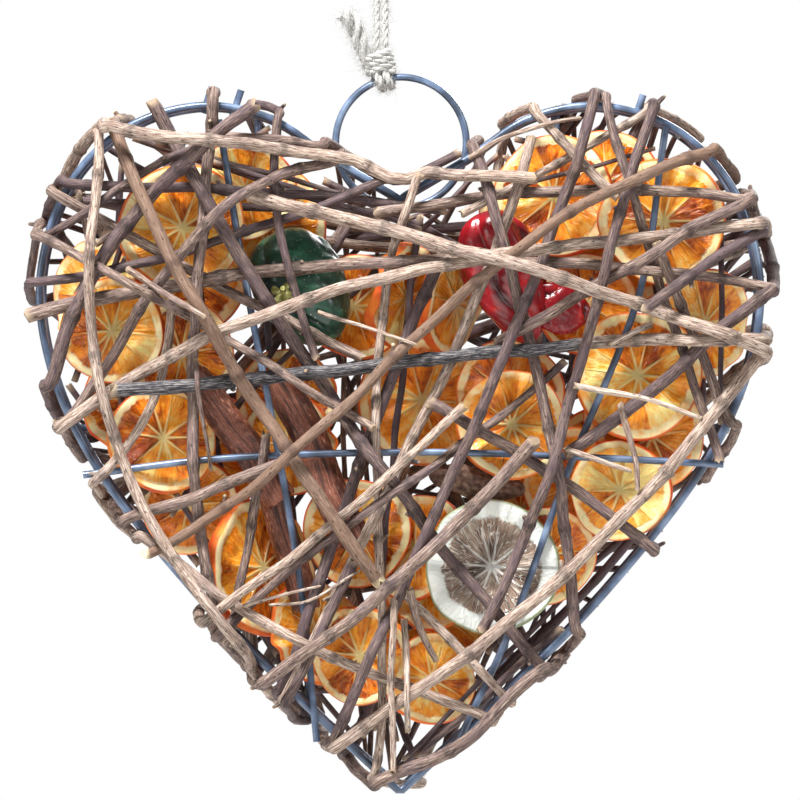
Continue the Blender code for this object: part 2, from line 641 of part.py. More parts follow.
def tucked(station, drift):
    """Bends of an end that runs over the front hoop and stops on the rim's side."""
    core, push = round_hoop(station, FRONT, leaving=True)
    x, z = rim_point(station + drift * TUCK_SHARE)
    outward = rim_outward(station + drift * TUCK_SHARE)
    end_core = (x, -HOOP_Y * (1 - 2 * TUCK_SHARE), z)
    return np.vstack([core, [end_core]]), np.vstack([push, [(outward[0], 0, outward[1])]])


def drift_at(station, before, after):
    """Stations that a twig moves along the rim while it goes over it, as its slant on the face gives."""
    way = (after - before)[[0, 2]]
    way = way / np.linalg.norm(way)
    slant = (way @ rim_direction(station)) / max(abs(way @ rim_outward(station)), 0.4)
    return float(np.clip(slant, -0.9, 0.9)) * CAGE_DEPTH * DRIFT_SHARE / PERIMETER * 100


def vine_bends(first_pass, back_bow, second_pass):
    """The whole twig's bends: core points on the cage's hoops, and the directions it is pushed off them."""
    start, from_a, over_a, bow_a, sway_a = first_pass
    if second_pass is None:
        return across_face(from_a, over_a, bow_a, sway_a, start, STRAIGHT_TWIG_END, FRONT, FRONT_STEP)
    over_b, to_b, bow_b, sway_b, end = second_pass
    first = across_face(from_a, over_a, bow_a, sway_a, start, 1, FRONT, FRONT_STEP)
    second = across_face(over_b, to_b, bow_b, sway_b, 0, end, FRONT, FRONT_STEP)
    drift_a = drift_at(over_a, first[0][-2], first[0][-1])
    drift_b = drift_at(over_b, second[0][0], second[0][1])
    back = across_face(over_a + drift_a, over_b - drift_b, back_bow, 0, 0, 1, BACK, BACK_STEP)
    pieces = [(first[0][:-1], first[1][:-1]), over_rim(over_a, drift_a, FRONT),
              (back[0][1:-1], back[1][1:-1]), over_rim(over_b - drift_b, drift_b, BACK),
              (second[0][1:], second[1][1:])]
    if start == 0:
        core, push = tucked(from_a, -drift_at(from_a, first[0][0], first[0][1]))
        pieces[0] = (pieces[0][0][1:], pieces[0][1][1:])
        pieces.insert(0, (core[::-1], push[::-1]))
    if end == 1:
        pieces[-1] = (pieces[-1][0][:-1], pieces[-1][1][:-1])
        pieces.append(tucked(to_b, drift_at(to_b, second[0][-2], second[0][-1])))
    return np.vstack([piece[0] for piece in pieces]), np.vstack([piece[1] for piece in pieces])


def route(core, push, radii, points, point_radii, start_choice=None):
    """Lift of every bend on the easiest way through what is laid: low, gently sloped and free of all points."""
    base = radii + CLEARANCE
    cost = np.where(LIFTS >= base[0] - 1e-9, 0.0, NEVER)
    if start_choice is not None:
        cost = np.where(np.arange(len(LIFTS)) == start_choice, 0.0, NEVER)
    came_from = []
    for bend in range(len(core) - 1):
        a = core[bend] + push[bend] * HOOP_R
        b = core[bend + 1] + push[bend + 1] * HOOP_R
        length = np.linalg.norm(b - a)
        share = STRETCH[:, None]
        foot = a + (b - a) * share
        way = push[bend] + (push[bend + 1] - push[bend]) * share
        radius = radii[bend] + (radii[bend + 1] - radii[bend]) * STRETCH
        close = np.linalg.norm(points - (a + b) / 2, axis=1) < length / 2 + HIGHEST_LIFT + 0.01
        barred = barred_heights(foot, way, radius, points[close], point_radii[close])
        top = np.where(barred.any(axis=1), barred.shape[1] - barred[:, ::-1].argmax(axis=1), 0)
        samples = np.arange(len(STRETCH))
        blocked = barred[samples, HEIGHT_INDEX].any(axis=2)
        beneath = (HEIGHT_INDEX < top).mean(axis=2)
        on_front = min(core[bend][1], core[bend + 1][1]) <= -HOOP_Y
        step = (length * ((LIFTS[:, None] + LIFTS) / 2 + beneath * (UNDER_PENALTY if on_front else 0))
                + SLOPE_PENALTY * (LIFTS[:, None] - LIFTS) ** 2 / length)
        step = step + NEVER * blocked + NEVER * (LIFTS < base[bend + 1] - 1e-9)
        total = cost[:, None] + step
        came_from.append(total.argmin(axis=0))
        cost = total.min(axis=0)
    choices = [int(cost.argmin())]
    for previous in reversed(came_from):
        choices.append(int(previous[choices[-1]]))
    return choices[::-1]


def barred_heights(foot, way, radii, points, point_radii):
    """Which fine heights over each foot would touch a point."""
    steepness = np.linalg.norm(way, axis=1)
    normal = way / steepness[:, None]
    away = foot[:, None] - points[None]
    along = np.einsum("ijk,ik->ij", away, normal)
    beside = np.einsum("ijk,ijk->ij", away, away) - along ** 2
    room = (radii[:, None] + point_radii[None] + TWIG_CLEARANCE) ** 2 - beside
    barred = np.zeros((len(foot), FINE_HEIGHTS), bool)
    sample, point = np.nonzero(room > 0)
    half = np.sqrt(room[sample, point])
    low = ((-along[sample, point] - half) / steepness[sample] / FINE_STEP).astype(int)
    high = ((-along[sample, point] + half) / steepness[sample] / FINE_STEP).astype(int) + 1
    for row, bottom, top in zip(sample, low, high):
        if top > 0:
            barred[row, max(bottom, 0):top + 1] = True
    return barred


def sampled(line, radii, step):
    """Points and radii at even steps along a line."""
    along = lengths_along(line)
    even = np.linspace(0, along[-1], max(2, int(along[-1] / step)))
    points = np.stack([np.interp(even, along, line[:, axis]) for axis in range(3)], -1)
    return points, np.interp(even, along, np.broadcast_to(radii, len(line)))


def lay_vine(first_pass, back_bow, second_pass, radius_a, radius_b, points, point_radii):
    """Centre line and radii of a twig, led over and through everything at the given points."""
    core, push = vine_bends(first_pass, back_bow, second_pass)
    travelled = lengths_along(core + push * HOOP_R)
    radii = radius_a + (radius_b - radius_a) * travelled / travelled[-1]
    on_back = np.nonzero(core[:, 1] >= HOOP_Y)[0]
    joint = on_back[-4] if len(on_back) else len(core) - 1
    choices = route(core[:joint + 1], push[:joint + 1], radii[:joint + 1], points, point_radii)
    if joint < len(core) - 1:
        # The rest of the twig also finds its way past its own first pass
        laid = (core + push * HOOP_R)[:joint + 1] + push[:joint + 1] * LIFTS[choices][:, None]
        own, own_radii = sampled(laid, radii[:joint + 1], OBSTACLE_STEP)
        far = lengths_along(own)[-1] - lengths_along(own) > SELF_DISTANCE
        choices += route(core[joint:], push[joint:], radii[joint:], np.vstack([points, own[far]]),
                         np.concatenate([point_radii, own_radii[far]]), choices[-1])[1:]
    return core + push * (HOOP_R + LIFTS[choices])[:, None], radii


laid_points, laid_radii = [], []
for name, line, radius, closed in wire_lines:
    if not name.startswith("hoop"):
        points, radii = sampled(line, radius, OBSTACLE_STEP)
        laid_points.append(points)
        laid_radii.append(radii)
for number, (thick_a, thick_b, first_pass, back_bow, second_pass) in enumerate(VINES, 1):
    line, radii = lay_vine(first_pass, back_bow, second_pass, thick_a / 2 * MM, thick_b / 2 * MM,
                           np.vstack(laid_points), np.concatenate(laid_radii))
    finish = DARK_BARK if number in DARK_TWIGS else VINE_BARK
    add_tube(f"vine_{number:02d}", line, radii, finish)
    points, radii = sampled(line, radii, OBSTACLE_STEP)
    laid_points.append(points)
    laid_radii.append(radii)

# The origin is where the loop hangs, at the inside of its top
hang_point = bpy.data.objects.new("hang_point", None)
hang_point.location = (-LOOP_X, 0, -(LOOP_TOP - TWINE_R))
PARTS.objects.link(hang_point)
for piece in list(PARTS.objects) + list(CUTTERS.objects):
    if piece is not hang_point:
        piece.parent = hang_point
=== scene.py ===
import math

import bpy
import numpy as np
from mathutils import Euler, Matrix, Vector
from mathutils.bvhtree import BVHTree


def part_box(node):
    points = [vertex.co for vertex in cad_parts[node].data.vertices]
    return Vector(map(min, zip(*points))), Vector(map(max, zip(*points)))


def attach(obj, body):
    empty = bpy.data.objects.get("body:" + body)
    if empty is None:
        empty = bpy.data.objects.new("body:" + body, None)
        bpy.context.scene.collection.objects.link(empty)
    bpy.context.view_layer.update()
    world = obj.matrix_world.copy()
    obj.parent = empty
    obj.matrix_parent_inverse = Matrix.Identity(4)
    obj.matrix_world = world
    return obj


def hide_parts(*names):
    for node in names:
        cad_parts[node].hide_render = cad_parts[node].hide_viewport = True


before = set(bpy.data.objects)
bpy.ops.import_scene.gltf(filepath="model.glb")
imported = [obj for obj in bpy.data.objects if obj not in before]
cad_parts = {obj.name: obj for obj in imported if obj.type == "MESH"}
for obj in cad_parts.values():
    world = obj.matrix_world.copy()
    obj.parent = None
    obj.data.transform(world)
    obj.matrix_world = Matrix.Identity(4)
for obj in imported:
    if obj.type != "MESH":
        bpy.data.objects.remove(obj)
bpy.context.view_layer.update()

# The heart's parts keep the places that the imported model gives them. Lengths are metres, and MM turns
# millimetres to metres. The heart's own sizes count from its tip, and the twine's loop is the origin.
MM = 0.001
TIP = np.array([0.00768, 0, -0.34662])
HEART_WIDTH = 0.289
HEART_HEIGHT = 0.276
CAGE_DEPTH = 0.045
HOOP_Y = CAGE_DEPTH / 2

# Camera: square on to the front of the heart, a long lens from 5 m, so that the back hoop hides behind the
# front one as in the photograph. The picture's width spans 321.6 mm at the front hoop.
CAMERA_DISTANCE = 5.0
PICTURE_WIDTH = 0.3216
PICTURE_MIDDLE_UP = 0.1576
SENSOR = 36.0
camera = bpy.data.objects.new("camera", bpy.data.cameras.new("camera"))
camera.data.sensor_width = SENSOR
camera.data.lens = SENSOR * CAMERA_DISTANCE / PICTURE_WIDTH
camera.location = (TIP[0], -HOOP_Y - CAMERA_DISTANCE, TIP[2] + PICTURE_MIDDLE_UP)
camera.rotation_euler = (math.radians(90), 0, 0)
bpy.context.scene.collection.objects.link(camera)
bpy.context.scene.camera = camera
bpy.context.scene.view_settings.view_transform = "Standard"


# Jute twine: three plies twisted to the right, hitched round the ring and doubled up to the loop that hangs
# on a nail. Its cut tail frays out beside the knot. Undyed jute is pale, dry and hairy.
TWINE = 0.0028
TWINE_R = TWINE / 2
TWINE_LAY = 0.0105
TWINE_STEP = 0.0006
PLIES = 3
PLY_SIDES = 8
PLY_SHARE = 0.60
FIBRES_PER_MM = 13.0
FIBRE_RADIUS = 0.00007
FIBRE_LENGTH = (0.0007, 0.0030)
FIBRE_ROOT = 0.75
FIBRE_LEAN = 1.3
FIBRE_CURL = 0.45
FIBRE_ROWS = 4
FIBRE_TAPER = 1.15
FIBRE_CORNERS = np.array([(1, 0, 0), (-0.5, 0.87, 0), (-0.5, -0.4, 0.77)])
STRAND_GAP = TWINE + 0.0006
FOOT_TUCK = 0.0032
LOOP_WIDTH = 0.0092
LOOP_TOP = TWINE_R
TWINE_RISE = 0.054
# The strand's route from the knot up, round the loop and back: across in loop widths, up in rises
TWINE_ROUTE = [(.5, 0), (.5, .2), (.5, .4), (.52, .56), (.78, .68), (1.0, .80), (.86, .93), (0, 1.0),
               (-.86, .93), (-1.0, .80), (-.78, .68), (-.52, .56), (-.5, .4), (-.5, .2), (-.5, 0)]


def linear(hex_colour):
    """Linear colour of an sRGB hex value, with full alpha."""
    parts = [int(hex_colour[i:i + 2], 16) / 255 for i in (1, 3, 5)]
    return tuple(v / 12.92 if v <= 0.04045 else ((v + 0.055) / 1.055) ** 2.4 for v in parts) + (1.0,)


def add(tree, kind, feeds=(), stops=(), **settings):
    """A node with its settings, its ramp's stops (place, hex) and its inputs (input, value or socket)."""
    node = tree.nodes.new(kind)
    for key, value in settings.items():
        setattr(node, key, value)
    for socket, feed in feeds:
        if isinstance(feed, bpy.types.NodeSocket):
            tree.links.new(feed, node.inputs[socket])
        else:
            node.inputs[socket].default_value = feed
    for number, (place, colour) in enumerate(stops):
        elements = node.color_ramp.elements
        element = elements[number] if number < 2 else elements.new(place)
        element.position = place
        element.color = linear(colour)
    return node


def finish_tree(name):
    """A new material's node tree and its Principled shader."""
    made = bpy.data.materials.new(name)
    made.use_nodes = True
    return made, made.node_tree, made.node_tree.nodes["Principled BSDF"]


def smooth_curve(points, steps=12):
    """Centripetal Catmull-Rom curve through the points, with so many steps to each span."""
    points = np.asarray(points, float)
    padded = np.vstack([2 * points[0] - points[1], points, 2 * points[-1] - points[-2]])
    a, b, c, d = (padded[i:len(padded) - 3 + i, None] for i in range(4))
    t1 = np.linalg.norm(b - a, axis=2, keepdims=True) ** 0.5
    t2 = t1 + np.linalg.norm(c - b, axis=2, keepdims=True) ** 0.5
    t3 = t2 + np.linalg.norm(d - c, axis=2, keepdims=True) ** 0.5
    t = t1 + (t2 - t1) * np.linspace(0, 1, steps, endpoint=False)[None, :, None]
    ab = (t1 - t) / t1 * a + t / t1 * b
    bc = (t2 - t) / (t2 - t1) * b + (t - t1) / (t2 - t1) * c
    cd = (t3 - t) / (t3 - t2) * c + (t - t2) / (t3 - t2) * d
    left = (t2 - t) / t2 * ab + t / t2 * bc
    right = (t3 - t) / (t3 - t1) * bc + (t - t1) / (t3 - t1) * cd
    curve = ((t2 - t) / (t2 - t1) * left + (t - t1) / (t2 - t1) * right).reshape(-1, points.shape[1])
    return np.vstack([curve, points[-1:]])


def lengths_along(line):
    """How far along the line each of its points lies."""
    return np.concatenate([[0], np.cumsum(np.linalg.norm(np.diff(line, axis=0), axis=1))])


def evened(line, spacing, closed=False, carry=None):
    """The line at even steps of about the spacing, with a value carried along it where one is given."""
    if closed:
        line = np.vstack([line, line[:1]])
    along = lengths_along(line)
    even = np.linspace(0, along[-1], max(3, round(along[-1] / spacing) + 1))
    if closed:
        even = even[:-1]
    points = np.stack([np.interp(even, along, line[:, axis]) for axis in range(line.shape[1])], -1)
    return points if carry is None else (points, np.interp(even, along, carry))


# A direction that no piece runs along, for the first side of a line
ASLANT = (0.31, 0.52, 0.79)


def carried_frames(line, closed=False):
    """Unit tangent, side and up at each point, carried along the line with the least twist."""
    ahead = np.roll(line, -1, 0) - np.roll(line, 1, 0)
    if not closed:
        ahead[0], ahead[-1] = line[1] - line[0], line[-1] - line[-2]
    tangent = ahead / np.linalg.norm(ahead, axis=1, keepdims=True)
    first = np.cross(tangent[0], ASLANT)
    sides = [first / np.linalg.norm(first)]
    for way in tangent[1:]:
        side = sides[-1] - way * (sides[-1] @ way)
        sides.append(side / np.linalg.norm(side))
    side = np.array(sides)
    up = np.cross(tangent, side)
    if closed:
        # The twist left over at the join is spread evenly over the whole ring
        end = sides[-1] - tangent[0] * (sides[-1] @ tangent[0])
        left_over = math.atan2(end @ up[0], end @ side[0])
        turn = -left_over * np.arange(len(line))[:, None] / len(line)
        side, up = side * np.cos(turn) + up * np.sin(turn), up * np.cos(turn) - side * np.sin(turn)
    return tangent, side, up


def tube_rings(line, radii, sides, closed=False):
    """Rings round a line: ring i, side j is at line_i + r_ij (cos a_j side_i + sin a_j up_i)."""
    _, side, up = carried_frames(line, closed)
    angle = np.arange(sides) / sides * math.tau
    if np.ndim(radii) == 1:
        radii = np.asarray(radii, float)[:, None]
    radii = np.broadcast_to(radii, (len(line), sides))[..., None]
    round_line = np.cos(angle)[:, None] * side[:, None] + np.sin(angle)[:, None] * up[:, None]
    return line[:, None] + radii * round_line


def ring_faces(rings, sides, closed=False, start=0):
    """Quads between neighbouring rings, and a flat end on each end of an open run of rings."""
    corner = np.arange(rings * sides).reshape(rings, sides) + start
    below = corner if closed else corner[:-1]
    above = np.roll(corner, -1, 0) if closed else corner[1:]
    quads = np.stack([below, np.roll(below, -1, 1), np.roll(above, -1, 1), above], -1)
    quads = quads.reshape(-1, 4).tolist()
    if not closed:
        quads += [corner[0, ::-1].tolist(), corner[-1].tolist()]
    return quads


def piece(name, places, faces, finish, slot, nodes=(), sharp=40, **values):
    """Object of the places and faces, with values kept at its points. It stands for the CAD nodes named."""
    mesh = bpy.data.meshes.new(name)
    places = np.asarray(places, float).reshape(-1, 3)
    mesh.from_pydata(places.tolist(), [], faces)
    for key, value in values.items():
        value = np.asarray(value, float)
        vector = value.ndim == 2
        kept = mesh.attributes.new(key, "FLOAT_VECTOR" if vector else "FLOAT", "POINT")
        kept.data.foreach_set("vector" if vector else "value", value.ravel().astype(np.float32))
    mesh.validate()
    mesh.shade_smooth()
    mesh.set_sharp_from_angle(angle=math.radians(sharp))
    mesh.materials.append(finish)
    made = bpy.data.objects.new(name, mesh)
    bpy.context.scene.collection.objects.link(made)
    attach(made, "root")
    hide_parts(*nodes)
    return made


def plied(line, radius, lay, swell=1.0):
    """Twisted twine: each ply winds round the line once in a lay, at radius (1 - ply share) swell from it."""
    along = lengths_along(line)
    _, side, up = carried_frames(line)
    places, faces = [], []
    count = 0
    for ply in range(PLIES):
        angle = (along / lay + ply / PLIES)[:, None] * math.tau
        spread = radius * (1 - PLY_SHARE) * np.broadcast_to(swell, len(line))[:, None]
        core = line + spread * (np.cos(angle) * side + np.sin(angle) * up)
        rings = tube_rings(core, radius * PLY_SHARE * np.ones(len(line)), PLY_SIDES)
        places.append(rings.reshape(-1, 3))
        faces += ring_faces(len(line), PLY_SIDES, start=count)
        count += len(line) * PLY_SIDES
    return np.vstack(places), faces


def fuzz(line, radius, rng, reach=1.0):
    """Loose fibres: three-sided hairs along root + length (way s + curl s squared), thinner to their tips."""
    count = int(lengths_along(line)[-1] / MM * FIBRES_PER_MM)
    tangent, side, up = carried_frames(line)
    at = rng.integers(1, len(line) - 1, count)
    angle = rng.uniform(0, math.tau, count)[:, None]
    out = np.cos(angle) * side[at] + np.sin(angle) * up[at]
    lean = rng.uniform(-FIBRE_LEAN, FIBRE_LEAN, count)[:, None]
    curl = rng.normal(0, FIBRE_CURL, (count, 3))
    length = rng.uniform(*FIBRE_LENGTH, count)[:, None] * reach
    share = np.linspace(0, 1, FIBRE_ROWS)[None, :, None]
    way = (out + tangent[at] * lean)[:, None]
    root = (line[at] + out * radius * FIBRE_ROOT)[:, None]
    spine = root + length[:, None] * (way * share + curl[:, None] * share ** 2)
    places = spine[:, :, None] + FIBRE_CORNERS * FIBRE_RADIUS * (FIBRE_TAPER - share[..., None])
    sides = len(FIBRE_CORNERS)
    local = np.arange(FIBRE_ROWS * sides).reshape(FIBRE_ROWS, sides)
    below, above = local[:-1], local[1:]
    quads = np.stack([below, np.roll(below, -1, 1), np.roll(above, -1, 1), above], -1).reshape(-1, 4)
    faces = (quads[None] + FIBRE_ROWS * sides * np.arange(count)[:, None, None]).reshape(-1, 4)
    return places.reshape(-1, 3), faces.tolist()


def twine_point(across, up):
    """Point of the route: strands lie side by side where across is a half, and open to the loop's width at
    one."""
    opened = max(0, 2 * abs(across) - 1)
    offset = (STRAND_GAP + (LOOP_WIDTH - STRAND_GAP) * opened) / 2
    return (np.sign(across) * offset, 0, LOOP_TOP - TWINE_RISE + up * TWINE_RISE)


# Undyed jute: matt and pale, with a fine grain of 0.7 mm in three greys. PER_MM turns a count to the
# millimetre into a pattern's scale.
PER_MM = 1000.0
JUTE, tree, shader = finish_tree("undyed_jute_fibre")
where = add(tree, "ShaderNodeTexCoord")
grain = add(tree, "ShaderNodeTexNoise",
            [("Vector", where.outputs["Object"]), ("Scale", 1.4 * PER_MM), ("Detail", 4)])
tone = add(tree, "ShaderNodeValToRGB", [("Fac", grain.outputs["Fac"])],
           stops=[(0.30, "#8B8985"), (0.72, "#D0D1CE"), (0.5, "#B0AFAB")])
tree.links.new(tone.outputs["Color"], shader.inputs["Base Color"])
shader.inputs["Roughness"].default_value = 0.9
shader.inputs["Sheen Weight"].default_value = 0.3
raised = add(tree, "ShaderNodeBump",
             [("Height", grain.outputs["Fac"]), ("Strength", 0.5), ("Distance", 0.0002)])
tree.links.new(raised.outputs["Normal"], shader.inputs["Normal"])

twine_rng = np.random.default_rng(31)
twine_line = smooth_curve([twine_point(across, up) for across, up in TWINE_ROUTE])
twine_line = evened(twine_line, TWINE_STEP)
# The plies run on into the knot from both feet of the cord's line
feet = twine_line[[0, -1]] - (0, 0, FOOT_TUCK)
strand = evened(np.vstack([feet[:1], twine_line, feet[1:]]), TWINE_STEP)
places, faces = plied(strand, TWINE_R, TWINE_LAY)
twine = piece("hanging_twine_plies", places, faces, JUTE, "jute", ["hanging_twine"])
hairs, hair_faces = fuzz(strand, TWINE_R, twine_rng)
twine_fuzz = piece("hanging_twine_fibres", hairs, hair_faces, JUTE, "jute")

# The knot's turns lie round the ring's wire
CLEARANCE = 0.0003
RING_WIDTH = 0.0556
RING_WIRE = 0.0029
RING_RADIUS = (RING_WIDTH - RING_WIRE) / 2
NOTCH_SHARE = 0.864
NOTCH_UP = NOTCH_SHARE * HEART_HEIGHT
RING_X = 0.0004
RING_UP = NOTCH_UP - RING_WIRE / 2 - CLEARANCE - RING_WIRE / 2 + RING_RADIUS
KNOT_ANGLE = math.radians(-14)
KNOT_TURNS = 2.5
KNOT_PITCH = 0.0034
KNOT_SLACK = 0.0005
KNOT_RADIUS = RING_WIRE / 2 + CLEARANCE + TWINE_R + KNOT_SLACK
KNOT_STEPS = 90
KNOT_SWELL = 1.5
KNOT_FUZZ = 1.3
knot_out = np.array([math.sin(KNOT_ANGLE), 0, math.cos(KNOT_ANGLE)])
knot_along = np.array([math.cos(KNOT_ANGLE), 0, -math.sin(KNOT_ANGLE)])
knot_centre = TIP + (RING_X, 0, RING_UP) + knot_out * RING_RADIUS
turn = np.linspace(-KNOT_TURNS / 2, KNOT_TURNS / 2, KNOT_STEPS)[:, None]
knot_line = (knot_centre + turn * KNOT_PITCH * knot_along
             + KNOT_RADIUS * (np.cos(turn * math.tau) * knot_out + np.sin(turn * math.tau) * (0, -1, 0)))
# The strands' collar: two turns and a half round both of them, just over the ring. It and the hitch are one
# strand, run smoothly through every few points of both.
COLLAR_UP = 0.0072
COLLAR_SHIFT = (-0.0008, 0, 0)
COLLAR_SIZE = (0.0050, 0.0036)
COLLAR_TURNS = 2.6
COLLAR_PITCH = 0.0026
COLLAR_STEPS = 80
HITCH_STRIDE = 6
COLLAR_STRIDE = 4
KNOT_SPAN_STEPS = 8
turn = np.linspace(-COLLAR_TURNS / 2, COLLAR_TURNS / 2, COLLAR_STEPS)[:, None]
collar = (knot_centre + knot_out * COLLAR_UP + COLLAR_SHIFT + turn * COLLAR_PITCH * knot_out
          + COLLAR_SIZE[0] * np.sin(turn * math.tau) * knot_along
          + COLLAR_SIZE[1] * np.cos(turn * math.tau) * (0, -1, 0))
knot_points = np.vstack([knot_line[::HITCH_STRIDE], collar[::COLLAR_STRIDE]])
knot_line = evened(smooth_curve(knot_points, KNOT_SPAN_STEPS), TWINE_STEP)
places, faces = plied(knot_line, TWINE_R, TWINE_LAY, KNOT_SWELL)
knot = piece("twine_knot_plies", places, faces, JUTE, "jute", ["twine_knot"])
hairs, hair_faces = fuzz(knot_line, TWINE_R * KNOT_FUZZ, twine_rng)
knot_fuzz = piece("twine_knot_fibres", hairs, hair_faces, JUTE, "jute")

# The cut tail leaves the knot beside the strands and opens into thick loose plies with more fibres
TAIL_GAP = 0.0006
TAIL_POINTS = [(.0030, -.0010, -.0030), (0, -.0008, 0), (-.0035, -.0006, .008), (-.0055, -.0002, .0145),
               (-.0100, -.0012, .0205)]
TAIL_SWELL = (1.1, 1.9)
TAIL_THICKER = 1.6
TAIL_LOOSER = 2.2
TAIL_FUZZ = 2.2
TAIL_FIBRES_LONGER = 1.6
tail_foot = np.array([-STRAND_GAP / 2 - TWINE - TAIL_GAP, 0, LOOP_TOP - TWINE_RISE])
tail_line = evened(smooth_curve(tail_foot + np.array(TAIL_POINTS)), TWINE_STEP)
tail_swell = TAIL_SWELL[0] + TAIL_SWELL[1] * np.linspace(0, 1, len(tail_line))
places, faces = plied(tail_line, TWINE_R * TAIL_THICKER, TWINE_LAY * TAIL_LOOSER, tail_swell)
tail = piece("twine_tail_plies", places, faces, JUTE, "jute", ["twine_tail"])
twice_along = np.vstack([tail_line, tail_line])
hairs, hair_faces = fuzz(twice_along, TWINE_R * TAIL_FUZZ, twine_rng, TAIL_FIBRES_LONGER)
tail_fuzz = piece("twine_tail_fibres", hairs, hair_faces, JUTE, "jute")


# Heart cage: round steel wire with a blue-grey coating, bent into two heart-shaped hoops. Straight ribs and a
# cross bar are spot-welded on their outer faces, and short spreaders hold the hoops apart.
HOOP_R = 0.0016
RIB_R = 0.00145
WELD_DEPTH = 0.4 * RIB_R
RIB_Y = HOOP_Y + HOOP_R + RIB_R - WELD_DEPTH
WIRE_SIDES = 14
WIRE_STEP = 0.003
HOOP_STEP = 0.0025
RIB_PAST = 0.004
BAR_PAST = 0.006
BACK_PAST = 0.003
# Half of the rim from the notch to the tip, in half widths across and heights up
RIM_SPAN_STEPS = 40
RIM_SHAPE = [(0, NOTCH_SHARE), (.187, .922), (.36, .981), (.553, .9995), (.761, .967), (.92, .884),
             (1.0, .754), (.976, .627), (.858, .4855), (.581, .297), (.29, .141), (0, 0)]
# Ribs and bars in the same shares
FRONT_RIBS = [
    [(-.50, .965), (-.4325, .752), (-.325, .4565), (-.267, .262), (-.234, .088)],
    [(.735, .955), (.668, .731), (.467, .467), (.298, .226), (.166, .078)],
]
FRONT_BAR = [(-.84, .4645), (-.518, .485), (.055, .495), (.498, .488), (.858, .4785)]
BACK_RIBS = [[(-.40, .985), (-.36, .60), (-.25, .117)], [(.44, .99), (.40, .60), (.27, .125)]]
BACK_BAR = [(-.905, .53), (0, .545), (.905, .53)]
# Stations are hundredths of the rim's length, clockwise from the notch, where one more spreader is
SPREADER_STATIONS = [13.8, 29.0, 44.0, 56.9, 70.6, 85.0]
# Short cut ends of wire stand up from the front hoop
HOOK_STATIONS = [11.75, 90.4, 91.7]
HOOK = [(-0.002, -0.003), (0, 0.003), (0.0015, 0.0075)]
HOOK_SPAN_STEPS = 6

half_rim = smooth_curve(np.array(RIM_SHAPE) * (HEART_WIDTH / 2, HEART_HEIGHT), RIM_SPAN_STEPS)
RIM = np.vstack([half_rim, half_rim[::-1][1:] * (-1, 1)])
RIM_LENGTHS = lengths_along(RIM)


def rim_point(station):
    """Point (x, z) on the rim at a station."""
    along = np.mod(station, 100) / 100 * RIM_LENGTHS[-1]
    return np.stack([np.interp(along, RIM_LENGTHS, RIM[:, axis]) for axis in (0, 1)], -1)


def in_heart(shares, y):
    """Points at shares of the half width and of the height, at one depth."""
    across, up = np.array(shares, float).T
    return TIP + np.stack([across * HEART_WIDTH / 2, np.full(len(across), y), up * HEART_HEIGHT], -1)


def with_ends(line, overshoot):
    """The line, run on past both its ends."""
    first, last = line[0] - line[1], line[-1] - line[-2]
    return np.vstack([line[0] + first / np.linalg.norm(first) * overshoot, line,
                      line[-1] + last / np.linalg.norm(last) * overshoot])


def welded_wire(shares, y, overshoot):
    """Rib or bar through points of the heart at one depth, cut off a little past its last welds."""
    line = evened(smooth_curve(in_heart(shares, y)), WIRE_STEP)
    return with_ends(line, overshoot), RIB_R, False


# Powder coat on steel: a smooth satin skin, with a faint mottle of 11 mm and a fine grit
COATED_WIRE, tree, shader = finish_tree("blue_grey_coated_steel_wire")
where = add(tree, "ShaderNodeTexCoord")
mottle = add(tree, "ShaderNodeTexNoise",
             [("Vector", where.outputs["Object"]), ("Scale", 0.09 * PER_MM), ("Detail", 3)])
tone = add(tree, "ShaderNodeValToRGB", [("Fac", mottle.outputs["Fac"])],
           stops=[(0.35, "#3C4757"), (0.7, "#7E90AA"), (0.52, "#55657F")])
grit = add(tree, "ShaderNodeTexNoise",
           [("Vector", where.outputs["Object"]), ("Scale", 1.5 * PER_MM), ("Detail", 2)])
raised = add(tree, "ShaderNodeBump",
             [("Height", grit.outputs["Fac"]), ("Strength", 0.15), ("Distance", 0.0001)])
tree.links.new(tone.outputs["Color"], shader.inputs["Base Color"])
tree.links.new(raised.outputs["Normal"], shader.inputs["Normal"])
shader.inputs["Metallic"].default_value = 0.2
shader.inputs["Roughness"].default_value = 0.35
shader.inputs["Coat Weight"].default_value = 0.25

wires = []
rim_xz = evened(RIM[:-1], HOOP_STEP, closed=True)
for side in (-1, 1):
    hoop = TIP + np.stack([rim_xz[:, 0], np.full(len(rim_xz), side * HOOP_Y), rim_xz[:, 1]], -1)
    wires.append((hoop, HOOP_R, True))
wires += [welded_wire(shares, -RIB_Y, RIB_PAST) for shares in FRONT_RIBS]
wires.append(welded_wire(FRONT_BAR, -RIB_Y, BAR_PAST))
wires += [welded_wire(shares, RIB_Y, BACK_PAST) for shares in BACK_RIBS + [BACK_BAR]]
for station in SPREADER_STATIONS + [0]:
    x, z = rim_point(station)
    wires.append((TIP + np.array([(x, -HOOP_Y, z), (x, 0, z), (x, HOOP_Y, z)]), RIB_R, False))
hook_y = -(HOOP_Y - HOOP_R - RIB_R + WELD_DEPTH)
for station in HOOK_STATIONS:
    x, z = rim_point(station)
    hook = TIP + np.array([(x + across, hook_y, z + up) for across, up in HOOK])
    wires.append((smooth_curve(hook, HOOK_SPAN_STEPS), RIB_R, False))
places, faces = [], []
count = 0
for line, radius, closed in wires:
    places.append(tube_rings(line, np.full(len(line), radius), WIRE_SIDES, closed).reshape(-1, 3))
    faces += ring_faces(len(line), WIRE_SIDES, closed, count)
    count += len(line) * WIRE_SIDES
piece("coated_wire_cage", np.vstack(places), faces, COATED_WIRE, "coated_wire", ["wire_frame"])


